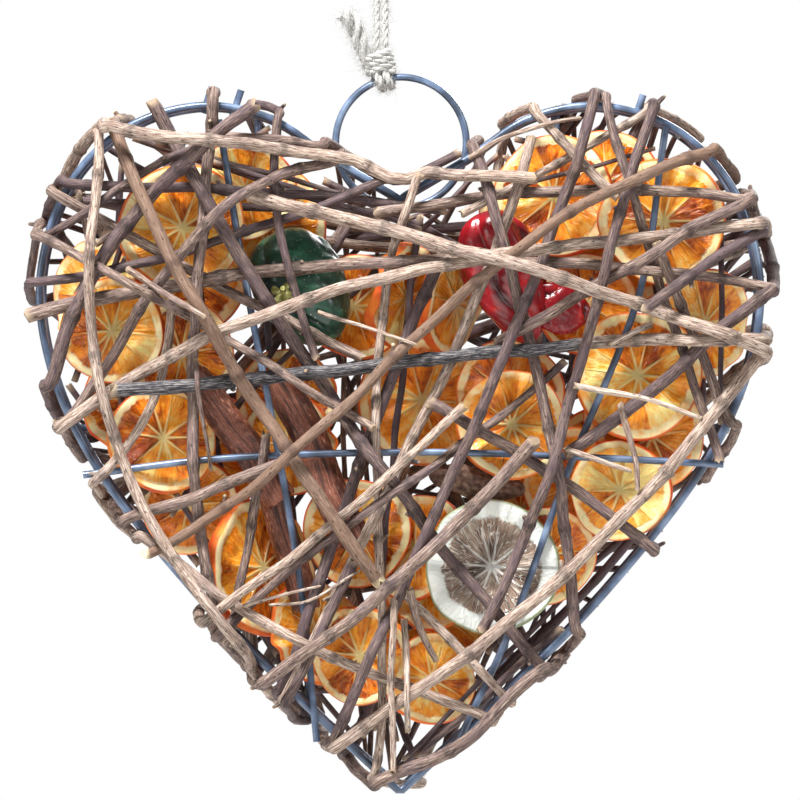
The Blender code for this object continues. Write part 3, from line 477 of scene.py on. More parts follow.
# Hanging ring: a butt-welded ring of the same coated wire, round and a little thinner than the hoops. It is
# threaded under the spreader in the notch and carries the heart.
RING_STEPS = 96
ring_angle = np.arange(RING_STEPS) / RING_STEPS * math.tau
ring_line = TIP + np.stack([RING_X + RING_RADIUS * np.sin(ring_angle), 0 * ring_angle,
                            RING_UP + RING_RADIUS * np.cos(ring_angle)], -1)
places = tube_rings(ring_line, np.full(RING_STEPS, RING_WIRE / 2), WIRE_SIDES, closed=True)
piece("coated_hanging_ring", places, ring_faces(RING_STEPS, WIRE_SIDES, closed=True), COATED_WIRE,
      "coated_wire", ["hanging_ring"])


# Vine twigs: year-old vine shoots, wound round the cage while green and dried there. Each has swollen joints
# every few centimetres with a stub of a bud, ribbed bark, and snapped ends with pale splintered wood.
TWIGS = 23
TWIG_SPAN_STEPS = 10
TWIG_TONES = (0.32, 0.82)
BARK_STEP = 0.0016
BARK_SIDES = 12
BARK_SHARE = 0.93
BARK_SHARP = 50
BARK_ROUGH = 0.012
BARK_TWIST = 0.13
RIB_DEPTH = 0.03
FINE_RIB_SHARE = 0.6
RIB_PHASE = 6
WANDER = 0.00025
WANDER_LENGTHS = (0.03, 0.09)
THICK_AND_THIN = 0.025
THICK_LENGTHS = (0.012, 0.05)
SNAP_JAG = (-0.2, 0.9)
MOST_JOINTS = 60
JOINT_SPACING = (0.028, 0.062)
JOINT_SET_BACK = 0.012
JOINT_END_ROOM = 0.006
JOINT_SWELL = 0.2
JOINT_WIDTH = 0.0019
BUD_CHANCE = 0.45
BUD_LENGTH = (0.002, 0.0052)
BUD_OUT = 0.75
BUD_ALONG = 0.6
BUD_ROOT = 0.6
BUD_THICK = 0.42
BUD_MOST = 0.0011
BUD_PROFILE = np.array([1.4, 1.1, 1.0, 0.95, 0.6])
BUD_SIDES = 6
BUD_SHADE = 0.7
# One twig is black old wood for its first 186 mm and young bark after that. Another one's bark peels.
DARK_TWIG = 17
OLD_WOOD = 0.186
OLD_WOOD_FADES = 0.015
PEELED_TWIG = 21
# A CAD mesh is loose triangles: corners this near are one, and faces this even are one flat end
WELD = 2e-6
SAME_WAY = 0.9999
SAME_PLANE = 2e-5
ROUND_ENOUGH = 1.05
END_TRIANGLES = 4
END_CORNERS = 6


def merged(mesh):
    """Places of a CAD mesh with its doubles merged, and the number of the place at each loose corner."""
    loose = np.zeros(len(mesh.vertices) * 3, np.float32)
    mesh.vertices.foreach_get("co", loose)
    _, first, corner = np.unique(np.round(loose.reshape(-1, 3) / WELD).astype(int), axis=0,
                                 return_index=True, return_inverse=True)
    return loose.reshape(-1, 3)[first].astype(float), corner.ravel()


def plain_rings(node):
    """Middles and radii of the six-cornered rings of a plain CAD tube, from one flat end to the other."""
    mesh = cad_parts[node].data
    places, corner = merged(mesh)
    mesh.calc_loop_triangles()
    flat = np.zeros(len(mesh.loop_triangles) * 3, np.int32)
    mesh.loop_triangles.foreach_get("vertices", flat)
    triangles = corner[flat].reshape(-1, 3)
    normal = np.cross(places[triangles[:, 1]] - places[triangles[:, 0]],
                      places[triangles[:, 2]] - places[triangles[:, 0]])
    normal /= np.maximum(np.linalg.norm(normal, axis=1, keepdims=True), 1e-15)
    edges = np.concatenate([triangles[:, [0, 1]], triangles[:, [1, 2]], triangles[:, [2, 0]]])
    beside = np.zeros((len(places), len(places)), bool)
    beside[edges[:, 0], edges[:, 1]] = beside[edges[:, 1], edges[:, 0]] = True
    for number in range(len(triangles)):
        # A flat end is four triangles of one plane, whose six corners are as far from their middle
        height = (places[triangles[:, 0]] - places[triangles[number, 0]]) @ normal[number]
        level = (normal @ normal[number] > SAME_WAY) & (np.abs(height) < SAME_PLANE)
        corners = np.unique(triangles[level])
        if level.sum() == END_TRIANGLES and len(corners) == END_CORNERS:
            out = np.linalg.norm(places[corners] - places[corners].mean(0), axis=1)
            if out.max() < ROUND_ENOUGH * out.min():
                break
    ring, seen = corners, np.zeros(len(places), bool)
    middles, radii = [], []
    while len(ring):
        seen[ring] = True
        middles.append(places[ring].mean(0))
        radii.append(np.linalg.norm(places[ring] - middles[-1], axis=1).mean())
        ring = np.nonzero(beside[ring].any(0) & ~seen)[0]
    return np.array(middles), np.array(radii)


def ripple(rng, along, shortest, longest, waves=5):
    """Smooth random ups and downs along a length: a sum of sines of random wavelength and phase, about one
    in size."""
    wavelength = rng.uniform(shortest, longest, waves)[:, None]
    phase = rng.uniform(0, math.tau, waves)[:, None]
    return np.sin(along / wavelength * math.tau + phase).sum(0) / math.sqrt(waves / 2)


def bark(line, radii, rng, buds=True):
    """Twig along a line. Radius: r (1 + swellings at joints + slow ripple) (1 + ribs of cos 3a and cos 5a +
    roughness). The ends are snapped, so their last ring is pushed out and in along the twig, and a bud's
    stub, a short tapered tube, stands at some joints."""
    along = lengths_along(line)
    total = along[-1]
    joints = np.cumsum(rng.uniform(*JOINT_SPACING, MOST_JOINTS))
    joints = joints[joints < total - JOINT_END_ROOM] - JOINT_SET_BACK
    joints = joints[joints > JOINT_END_ROOM]
    tangent, side, up = carried_frames(line)
    swelling = np.exp(-((along[:, None] - joints) / JOINT_WIDTH) ** 2).sum(1)
    wander_side = WANDER * ripple(rng, along, *WANDER_LENGTHS)[:, None]
    wander_up = WANDER * ripple(rng, along, *WANDER_LENGTHS)[:, None]
    line = line + wander_side * side + wander_up * up
    angle = np.arange(BARK_SIDES) / BARK_SIDES * math.tau
    turn = along[:, None] / BARK_TWIST * math.tau * rng.uniform(-1, 1)
    ribs = np.cos(3 * angle + turn + rng.uniform(0, RIB_PHASE))
    ribs = ribs + FINE_RIB_SHARE * np.cos(5 * angle - turn + rng.uniform(0, RIB_PHASE))
    rough = rng.normal(0, BARK_ROUGH, (len(line), BARK_SIDES))
    uneven = THICK_AND_THIN * ripple(rng, along, *THICK_LENGTHS)
    size = (radii * (1 + JOINT_SWELL * swelling + uneven))[:, None]
    rings = tube_rings(line, size * (1 + RIB_DEPTH * ribs + rough), BARK_SIDES)
    jag = rng.uniform(*SNAP_JAG, (2, BARK_SIDES, 1))
    rings[0] -= tangent[0] * jag[0] * radii[0]
    rings[-1] += tangent[-1] * jag[1] * radii[-1]
    places = [rings.reshape(-1, 3)]
    faces = ring_faces(len(line), BARK_SIDES)
    # The grain's own axes: across the section as if the twig were straight, and along it
    grain = [np.stack([np.cos(angle) * size, np.sin(angle) * size, along[:, None] + 0 * angle],
                      -1).reshape(-1, 3)]
    joint = [np.repeat(swelling, BARK_SIDES)]
    ends = np.zeros(len(line))
    ends[[0, -1]] = 1
    cut = [np.repeat(ends, BARK_SIDES)]
    count = len(line) * BARK_SIDES
    for place in joints if buds else []:
        if rng.random() < BUD_CHANCE:
            at = int(np.searchsorted(along, place))
            roll = rng.uniform(0, math.tau)
            out = math.cos(roll) * side[at] + math.sin(roll) * up[at]
            way = BUD_OUT * out + rng.choice((-1, 1)) * BUD_ALONG * tangent[at]
            share = np.linspace(0, 1, len(BUD_PROFILE))[:, None]
            stub = line[at] + out * radii[at] * BUD_ROOT + way * share * rng.uniform(*BUD_LENGTH)
            stub_radii = np.minimum(radii[at] * BUD_THICK, BUD_MOST) * BUD_PROFILE
            places.append(tube_rings(stub, stub_radii, BUD_SIDES).reshape(-1, 3))
            faces += ring_faces(len(stub), BUD_SIDES, start=count)
            grain.append(places[-1])
            joint.append(np.full(len(places[-1]), BUD_SHADE))
            cut.append(np.repeat(np.arange(len(stub)) == len(stub) - 1, BUD_SIDES))
            count += len(places[-1])
    return np.vstack(places), faces, np.vstack(grain), np.concatenate(joint), np.concatenate(cut)


def bark_finish(name, dark, middle, light, patch, wood, young=None):
    """Dry bark: fibres half a millimetre wide and 6 mm long that run along the twig, slow patches of another
    brown 4 mm wide, dark pores every 2 to 4 mm, darker joints, and paler wood where it is snapped. Where the
    twig is young, its bark has the young colours."""
    made, tree, shader = finish_tree(name)
    fibres = add(tree, "ShaderNodeAttribute", attribute_name="grain")
    swollen = add(tree, "ShaderNodeAttribute", attribute_name="joint")
    snapped = add(tree, "ShaderNodeAttribute", attribute_name="cut")
    own = add(tree, "ShaderNodeAttribute", attribute_name="tone")
    long_grain = add(tree, "ShaderNodeMapping", [
        ("Vector", fibres.outputs["Vector"]), ("Scale", (2.1 * PER_MM, 2.1 * PER_MM, 0.17 * PER_MM))])
    fine = add(tree, "ShaderNodeTexNoise", [
        ("Vector", long_grain.outputs["Vector"]), ("Scale", 1.0), ("Detail", 6), ("Roughness", 0.72)])
    slow_grain = add(tree, "ShaderNodeMapping", [
        ("Vector", fibres.outputs["Vector"]), ("Scale", (0.26 * PER_MM, 0.26 * PER_MM, 0.06 * PER_MM))])
    slow = add(tree, "ShaderNodeTexNoise", [
        ("Vector", slow_grain.outputs["Vector"]), ("Scale", 1.0), ("Detail", 3)])
    pore_grain = add(tree, "ShaderNodeMapping", [
        ("Vector", fibres.outputs["Vector"]), ("Scale", (0.52 * PER_MM, 0.52 * PER_MM, 0.23 * PER_MM))])
    pores = add(tree, "ShaderNodeTexVoronoi", [("Vector", pore_grain.outputs["Vector"]), ("Scale", 1.0)])
    # A twig's own tone darkens its grain. On most twigs the tone is their own, at random; on the inner shoots
    # and back windings it is set darker as painted shade.
    tone_and_shade_shift = add(tree, "ShaderNodeMath", [(0, own.outputs["Fac"]), (1, -0.35), (2, 0.14)],
               operation="MULTIPLY_ADD")
    shifted = add(tree, "ShaderNodeMath", [(0, fine.outputs["Fac"]), (1, tone_and_shade_shift.outputs[0])], operation="ADD")
    tone = add(tree, "ShaderNodeValToRGB", [("Fac", shifted.outputs[0])],
               stops=[(0.32, dark), (0.68, light), (0.48, middle)])
    if young:
        fresh = add(tree, "ShaderNodeAttribute", attribute_name="young")
        young_tone = add(tree, "ShaderNodeValToRGB", [("Fac", shifted.outputs[0])],
                         stops=[(0.32, young[0]), (0.68, young[2]), (0.48, young[1])])
        tone = add(tree, "ShaderNodeMix", [(0, fresh.outputs["Fac"]), (6, tone.outputs["Color"]),
                                           (7, young_tone.outputs["Color"])], data_type="RGBA")
    # The tone also adds the darker patches, so on the inner shoots and back windings these add painted shade
    # too
    lift = add(tree, "ShaderNodeMath", [(0, slow.outputs["Fac"]), (1, own.outputs["Fac"])], operation="ADD")
    patchy = add(tree, "ShaderNodeMapRange", [
        ("Value", lift.outputs[0]), ("From Min", 0.85), ("From Max", 1.35), ("To Max", 0.7)])
    plain = tone.outputs[2] if young else tone.outputs["Color"]
    mixed = add(tree, "ShaderNodeMix", [(0, patchy.outputs[0]), (6, plain), (7, linear(patch))],
                data_type="RGBA")
    speck = add(tree, "ShaderNodeMapRange", [
        ("Value", pores.outputs["Distance"]), ("From Min", 0.08), ("From Max", 0.22),
        ("To Min", 0.9), ("To Max", 0.0)])
    spotted = add(tree, "ShaderNodeMix", [(0, speck.outputs[0]), (6, mixed.outputs[2]), (7, linear(dark))],
                  data_type="RGBA")
    shade = add(tree, "ShaderNodeMath", [(0, swollen.outputs["Fac"]), (1, 0.6)], operation="MULTIPLY")
    jointed = add(tree, "ShaderNodeMix", [(0, shade.outputs[0]), (6, spotted.outputs[2]), (7, linear(dark))],
                  data_type="RGBA")
    ended = add(tree, "ShaderNodeMix", [
        (0, snapped.outputs["Fac"]), (6, jointed.outputs[2]), (7, linear(wood))], data_type="RGBA")
    tree.links.new(ended.outputs[2], shader.inputs["Base Color"])
    shader.inputs["Roughness"].default_value = 0.72
    shader.inputs["Specular IOR Level"].default_value = 0.35
    raised = add(tree, "ShaderNodeBump", [
        ("Height", fine.outputs["Fac"]), ("Strength", 0.7), ("Distance", 0.0003)])
    tree.links.new(raised.outputs["Normal"], shader.inputs["Normal"])
    return made


# Bark a year old is greyish brown. Old wood is nearly black with grey streaks, and peeling bark is paler.
BROWNS = ("#201716", "#856E60", "#D6C7B8")
VINE_BARK = bark_finish("dry_vine_bark", *BROWNS, patch="#54444A", wood="#9A8670")
DARK_BARK = bark_finish("weathered_black_bark", "#070609", "#26242B", "#A39D9A", patch="#26222B",
                        wood="#9A866E", young=BROWNS)
PEELED_BARK = bark_finish("peeling_vine_bark", "#33211C", "#A08B7A", "#DCD0BE", patch="#7A5F4E",
                          wood="#E3D5AC")

# Over the rim the real twigs are pulled tight, so what stands out past this is drawn in by four fifths
TURN_ROOM = 0.0038
DRAWN_IN = 0.8
rim_ahead = np.gradient(RIM, axis=0)
RIM_OUTWARD = np.stack([-rim_ahead[:, 1], rim_ahead[:, 0]], -1)
RIM_OUTWARD /= np.linalg.norm(rim_ahead, axis=1, keepdims=True)


def past_rim(flat):
    """How far points (x, z) lie outside the rim, less than zero inside it, and the way outward there."""
    away = (flat - TIP[[0, 2]])[:, None] - RIM
    nearest = np.linalg.norm(away, axis=2).argmin(1)
    outward = RIM_OUTWARD[nearest]
    return np.einsum("ij,ij->i", away[np.arange(len(flat)), nearest], outward), outward


def drawn_in(line):
    """The line with its outward reach d past the rim cut to room + 0.2 (d - room)."""
    reach, outward = past_rim(line[:, [0, 2]])
    moved = line.copy()
    moved[:, [0, 2]] -= (np.maximum(reach - TURN_ROOM, 0) * DRAWN_IN)[:, None] * outward
    return moved


twig_points = []
for number in range(1, TWIGS + 1):
    node = f"vine_{number:02d}"
    twig_rng = np.random.default_rng(100 + number)
    middles, thick = plain_rings(node)
    # Each twig is followed from its left end, where the dark one is old wood
    if middles[0, 0] > middles[-1, 0]:
        middles, thick = middles[::-1], thick[::-1]
    spans = len(thick) - 1
    thick = np.interp(np.linspace(0, spans, spans * TWIG_SPAN_STEPS + 1), np.arange(spans + 1), thick)
    course = drawn_in(smooth_curve(middles, TWIG_SPAN_STEPS))
    line, radii = evened(course, BARK_STEP, carry=thick * BARK_SHARE)
    places, faces, grain, joint, cut = bark(line, radii, twig_rng)
    finish = {DARK_TWIG: DARK_BARK, PEELED_TWIG: PEELED_BARK}.get(number, VINE_BARK)
    slot = "dark_bark" if number == DARK_TWIG else "vine_bark"
    tone = np.full(len(places), twig_rng.uniform(*TWIG_TONES))
    young = np.clip((grain[:, 2] - OLD_WOOD) / OLD_WOOD_FADES, 0, 1)
    piece(f"vine_twig_{number:02d}", places, faces, finish, slot, [node], BARK_SHARP,
          grain=grain + number, joint=joint, cut=cut, tone=tone, young=young)
    twig_points.append(np.hstack([line, radii[:, None]]))
twig_points = np.vstack(twig_points)


# Thin twigs and tendrils: the side shoots that stay on the vine. They are laid over the thick twigs last, so
# each runs taut from one that it rests on to the next.
# Each is given by its radii in millimetres at both ends, and its route in the photograph's pixels
THIN_TWIGS = [
    (1.1, 0.8, [(470, 157), (500, 140), (545, 125), (580, 119)]),
    (1.3, 0.9, [(575, 386), (650, 401), (700, 416)]),
    (1.4, 1.0, [(620, 405), (635, 460), (637, 490)]),
    (1.3, 0.9, [(567, 450), (630, 470)]),
    (1.7, 1.3, [(410, 590), (425, 640), (435, 660)]),
    (1.5, 1.2, [(393, 600), (392, 690), (393, 770)]),
    (1.4, 1.2, [(405, 620), (406, 680), (408, 730)]),
    (0.9, 0.6, [(320, 312), (360, 325), (415, 345)]),
    (0.8, 0.5, [(245, 607), (290, 592), (320, 585)]),
    (0.7, 0.5, [(270, 605), (310, 600), (360, 570)]),
    (1.0, 0.7, [(197, 360), (203, 420), (210, 470)]),
    (1.3, 1.0, [(650, 325), (610, 345)]),
    (1.4, 1.1, [(130, 271), (160, 290), (205, 318)]),
]
PIXEL = 0.000402
PHOTO_TIP = (400, 792)
SHOOT_TONES = (-0.15, 0.3)


def laid_over(line, radius, face=-1):
    """Taut line over the twigs of one face (front -1, back 1): the upper hull of the heights that the twigs
    under it force on it, each twig lifting it to its own height + sqrt(sum of radii squared - offset
    squared). Where there is none, it may go down to the hoop."""
    along = lengths_along(line)
    apart = np.linalg.norm(line[:, None] - twig_points[None, :, [0, 2]], axis=2)
    touch = twig_points[:, 3] + radius
    lifted = face * twig_points[:, 1] + np.sqrt(np.maximum(touch ** 2 - apart ** 2, 0))
    forced = np.where(apart < touch, lifted, HOOP_Y + HOOP_R + radius).max(1)
    hull = [0]
    for i in range(1, len(line)):
        while len(hull) > 1 and ((forced[hull[-1]] - forced[hull[-2]]) * (along[i] - along[hull[-2]])
                                 <= (forced[i] - forced[hull[-2]]) * (along[hull[-1]] - along[hull[-2]])):
            hull.pop()
        hull.append(i)
    return np.stack([line[:, 0], face * np.interp(along, along[hull], forced[hull]), line[:, 1]], -1)


def rows_of(line, radius):
    """Rows x, y, z, radius of a thin twig, for the next ones to be laid over."""
    return np.hstack([line, np.full((len(line), 1), radius)])


def shoots_piece(name, routes, rng, tone=0.25):
    """One object of several thin twigs, each a line with its thickness at both ends."""
    parts = [bark(line, np.linspace(thick_a, thick_b, len(line)) / 2, rng, buds=False)
             for line, thick_a, thick_b in routes]
    starts = np.cumsum([0] + [len(part[0]) for part in parts])
    faces = [[corner + int(start) for corner in face]
             for part, start in zip(parts, starts) for face in part[1]]
    low, high = tone + SHOOT_TONES[0], tone + SHOOT_TONES[1]
    piece(name, np.vstack([part[0] for part in parts]), faces, VINE_BARK, "vine_bark", (), BARK_SHARP,
          grain=np.vstack([part[2] + number for number, part in enumerate(parts)]),
          joint=np.concatenate([part[3] for part in parts]),
          cut=np.concatenate([part[4] for part in parts]),
          tone=np.concatenate([np.full(len(part[0]), rng.uniform(low, high)) for part in parts]))


thin_rng = np.random.default_rng(77)
routes = []
for thick_a, thick_b, pixels in THIN_TWIGS:
    route = (np.array(pixels, float) - PHOTO_TIP) * (PIXEL, -PIXEL) + TIP[[0, 2]]
    line = laid_over(evened(smooth_curve(route), BARK_STEP), thick_a * MM)
    routes.append((line, 2 * thick_a * MM, 2 * thick_b * MM))
    twig_points = np.vstack([twig_points, rows_of(line, thick_a * MM)])
shoots_piece("thin_side_shoots", routes, thin_rng)


# Back windings: thinner shoots wound last across the back, over the thick ones. The photograph hides them,
# but they close the gaps between the fruit, so they run from rim to rim in every direction.
BACK_SHOOTS = 40
BACK_TRIES = 1500
BACK_REACH = 0.0675
BACK_SPAN = (24, 62)
BACK_BOW = 0.005
BACK_POINTS = 30
BACK_PAST_RIM = 1.015
# The back windings' tone is set dark as painted shade, for the shade inside the heart
BACK_SHADE_TONE = 0.6
SHOOT_STEP = 0.003
SHOOT_TAPER = 0.8
BACK_SHOOT_THICKNESS = (0.0020, 0.0032)
HEART_MIDDLE = np.array([0, 0.55 * HEART_HEIGHT])
back_rng = np.random.default_rng(2024)


def near_rim(station, share):
    """Point on the way from the heart's middle to a point of the rim, at a share of it."""
    return HEART_MIDDLE + (rim_point(station) - HEART_MIDDLE) * share


def within_heart(flat):
    """True where all of a line but two points at each end lies inside the rim."""
    return past_rim(flat[2:-2])[0].max() < 0


routes = []
for _ in range(BACK_TRIES):
    first = back_rng.uniform(0, 100)
    second = first + back_rng.uniform(*BACK_SPAN)
    a, b = near_rim(first, BACK_PAST_RIM), near_rim(second, BACK_PAST_RIM)
    bow = back_rng.normal(0, BACK_BOW) * np.array([-(b - a)[1], (b - a)[0]]) / np.linalg.norm(b - a)
    share = np.linspace(0, 1, BACK_POINTS)[:, None]
    flat = evened(a + (b - a) * share + bow * 4 * share * (1 - share), SHOOT_STEP) + TIP[[0, 2]]
    if not within_heart(flat):
        continue
    thick = back_rng.uniform(*BACK_SHOOT_THICKNESS)
    line = laid_over(flat, thick / 2, 1)
    # One that would stand out too far over the others is left out
    if line[:, 1].max() + thick / 2 > BACK_REACH:
        continue
    routes.append((line, thick, thick * SHOOT_TAPER))
    twig_points = np.vstack([twig_points, rows_of(line, thick / 2)])
    if len(routes) == BACK_SHOOTS:
        break
shoots_piece("back_windings", routes, back_rng, BACK_SHADE_TONE)


# Dried orange slices: rounds cut across the fruit and dried until the juice sacs go translucent amber. The
# thin walls between the segments stand a little proud, and the pith dries to a pale ring under the peel.
ORANGE_SLICES = 25
SLICE_COLUMNS = 120
SLICE_SHARP = 60
# Rings of a slice from its middle to its peel, and how far up and down its edge the peel's rings lie
REACHES = np.array([.03, .10, .18, .27, .36, .45, .54, .62, .70, .77, .82, .86, .90, .94, .975])
EDGE_LEANS = (0.85, 0.4, -0.4, -0.85)
EDGE_FROM = 0.985
EDGE_BULGE = 0.02
MIDDLE_REACH = 0.005
SEGMENTS = 10
WALL_STRAY = 0.22
OUTLINE_SHARE = 1.015
OUTLINE_RIPPLE = 0.012
OUTLINE_ANGLES = (0.7, 2.1)
EDGE_WAVE = 0.0009
EDGE_ANGLES = (1.5, 4.0)
PULP_SHARE = (0.18, 0.62)
WALL_SPREAD = 0.0022
CRUMPLE = 0.16
PEEL_SHARE = 0.96
PEEL_FOOT = 0.03
PEEL_RAMP = 0.08
SEGMENT_SHADES = 0.16
SLICE_SHADES = (-0.12, 0.1)
PATTERN_SHIFT = 90


def slice_lie(node):
    """How a plain CAD slice lies: its middle, its axes across, up and out, its half thickness, and the fitted
    bend w = a + b cos 2t + c sin 2t and outline r = a + b cos 3t + c sin 3t of its edge."""
    places, _ = merged(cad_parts[node].data)
    middle = places.mean(0)
    out = np.linalg.svd(places - middle)[2][2]
    out = out if out[1] < 0 else -out
    across = np.array([1.0, 0, 0]) - out * out[0]
    across /= np.linalg.norm(across)
    up = np.cross(out, across)
    u, v, w = ((places - middle) @ axis for axis in (across, up, out))
    reach = np.hypot(u, v)
    edge = reach > MIDDLE_REACH
    t = np.arctan2(v[edge], u[edge])
    ones = np.ones(edge.sum())
    bend = np.linalg.lstsq(np.stack([ones, np.cos(2 * t), np.sin(2 * t)], -1), w[edge], rcond=None)[0]
    outline = np.linalg.lstsq(np.stack([ones, np.cos(3 * t), np.sin(3 * t)], -1), reach[edge], rcond=None)[0]
    flat = bend[0] + bend[1] * np.cos(2 * t) + bend[2] * np.sin(2 * t)
    return middle, (across, up, out), np.abs(w[edge] - flat).mean(), w[~edge].mean(), bend, outline


def citrus_slice(lie, segments, pith_from, rng):
    """Slice on a grid of reach (0 middle, 1 edge) and angle t. Mid-surface: (a - w0) reach squared + w0, plus
    the edge's bend. Half thickness: nearly full at the peel, less over the walls, and sunken between them by
    a share of its own in each segment, where three waves crumple it."""
    middle, (across, up, out), half, w0, bend, outline = lie
    t = np.arange(SLICE_COLUMNS) / SLICE_COLUMNS * math.tau
    walls = (np.arange(segments) + rng.uniform(-WALL_STRAY, WALL_STRAY, segments)) / segments * math.tau
    off = np.abs((t[:, None] - walls + math.pi) % math.tau - math.pi).min(1)
    radius = outline[0] * OUTLINE_SHARE + outline[1] * np.cos(3 * t) + outline[2] * np.sin(3 * t)
    radius = radius * (1 + OUTLINE_RIPPLE * ripple(rng, t, *OUTLINE_ANGLES) * np.sin(t / 2) ** 2)
    wave = EDGE_WAVE * ripple(rng, np.cos(t) * 3 + np.sin(2 * t), *EDGE_ANGLES)
    edge_bend = bend[1] * np.cos(2 * t) + bend[2] * np.sin(2 * t) + wave

    def level(reach):
        """Height of the mid-surface at a reach."""
        return w0 + (bend[0] - w0) * reach ** 2 + reach * edge_bend

    # Each segment has shrunk by an amount of its own, and its skin has crumpled across its length
    segment = np.searchsorted(np.sort(walls % math.tau), t) % segments
    shrunk = rng.uniform(*PULP_SHARE, segments)[segment]
    creases = [rng.uniform(0, math.tau, (3, segments))[:, segment] for _ in (0, 1)]

    def sheet(reach, face):
        """Height of one face (1 or -1) at a reach, and the way from there to the nearest wall."""
        gap = off * reach * outline[0]
        peel = np.clip((reach - pith_from + PEEL_FOOT) / PEEL_RAMP, 0, 1)
        belly = (1 - np.exp(-(gap / WALL_SPREAD) ** 2)) * math.sin(math.pi * min(1, reach / pith_from))
        pulp = half * (PULP_SHARE[1] - (PULP_SHARE[1] - shrunk) * belly)
        folds = creases[face > 0]
        waves = (np.sin(15 * reach + folds[0]) + np.sin(23 * reach + 19 * off + folds[1])
                 + 0.7 * np.sin(37 * off - 9 * reach + folds[2]))
        thick = (pulp + CRUMPLE * half * belly * waves) * (1 - peel) + half * PEEL_SHARE * peel
        return level(reach) + face * thick, gap

    rows, reaches, gaps = [], [], []
    for face in (1, -1):
        for reach in REACHES if face > 0 else REACHES[::-1]:
            height, gap = sheet(reach, face)
            rows.append((reach * radius, height))
            reaches.append(np.full(SLICE_COLUMNS, reach))
            gaps.append(gap)
        if face > 0:
            for lean in EDGE_LEANS:
                bulge = EDGE_FROM + EDGE_BULGE * (1 - lean ** 2)
                rows.append((radius * bulge, level(1.0) + half * lean))
                reaches.append(np.full(SLICE_COLUMNS, 1.0))
                gaps.append(off * outline[0])
    r, w = (np.array([row[i] for row in rows])[..., None] for i in (0, 1))
    places = middle + r * (np.cos(t)[:, None] * across + np.sin(t)[:, None] * up) + w * out
    faces = ring_faces(len(rows), SLICE_COLUMNS)
    reach = np.concatenate(reaches)
    gap = np.concatenate(gaps) / MM
    around = np.tile(t, len(rows)) * outline[0] / MM
    own_shift = rng.uniform(0, PATTERN_SHIFT)
    cell = np.stack([around, reach * outline[0] / MM, np.full(len(reach), own_shift)], -1)
    shade = np.tile(rng.uniform(-SEGMENT_SHADES, SEGMENT_SHADES, segments)[segment], len(rows))
    return places.reshape(-1, 3), [face[::-1] for face in faces], reach, gap, cell, shade


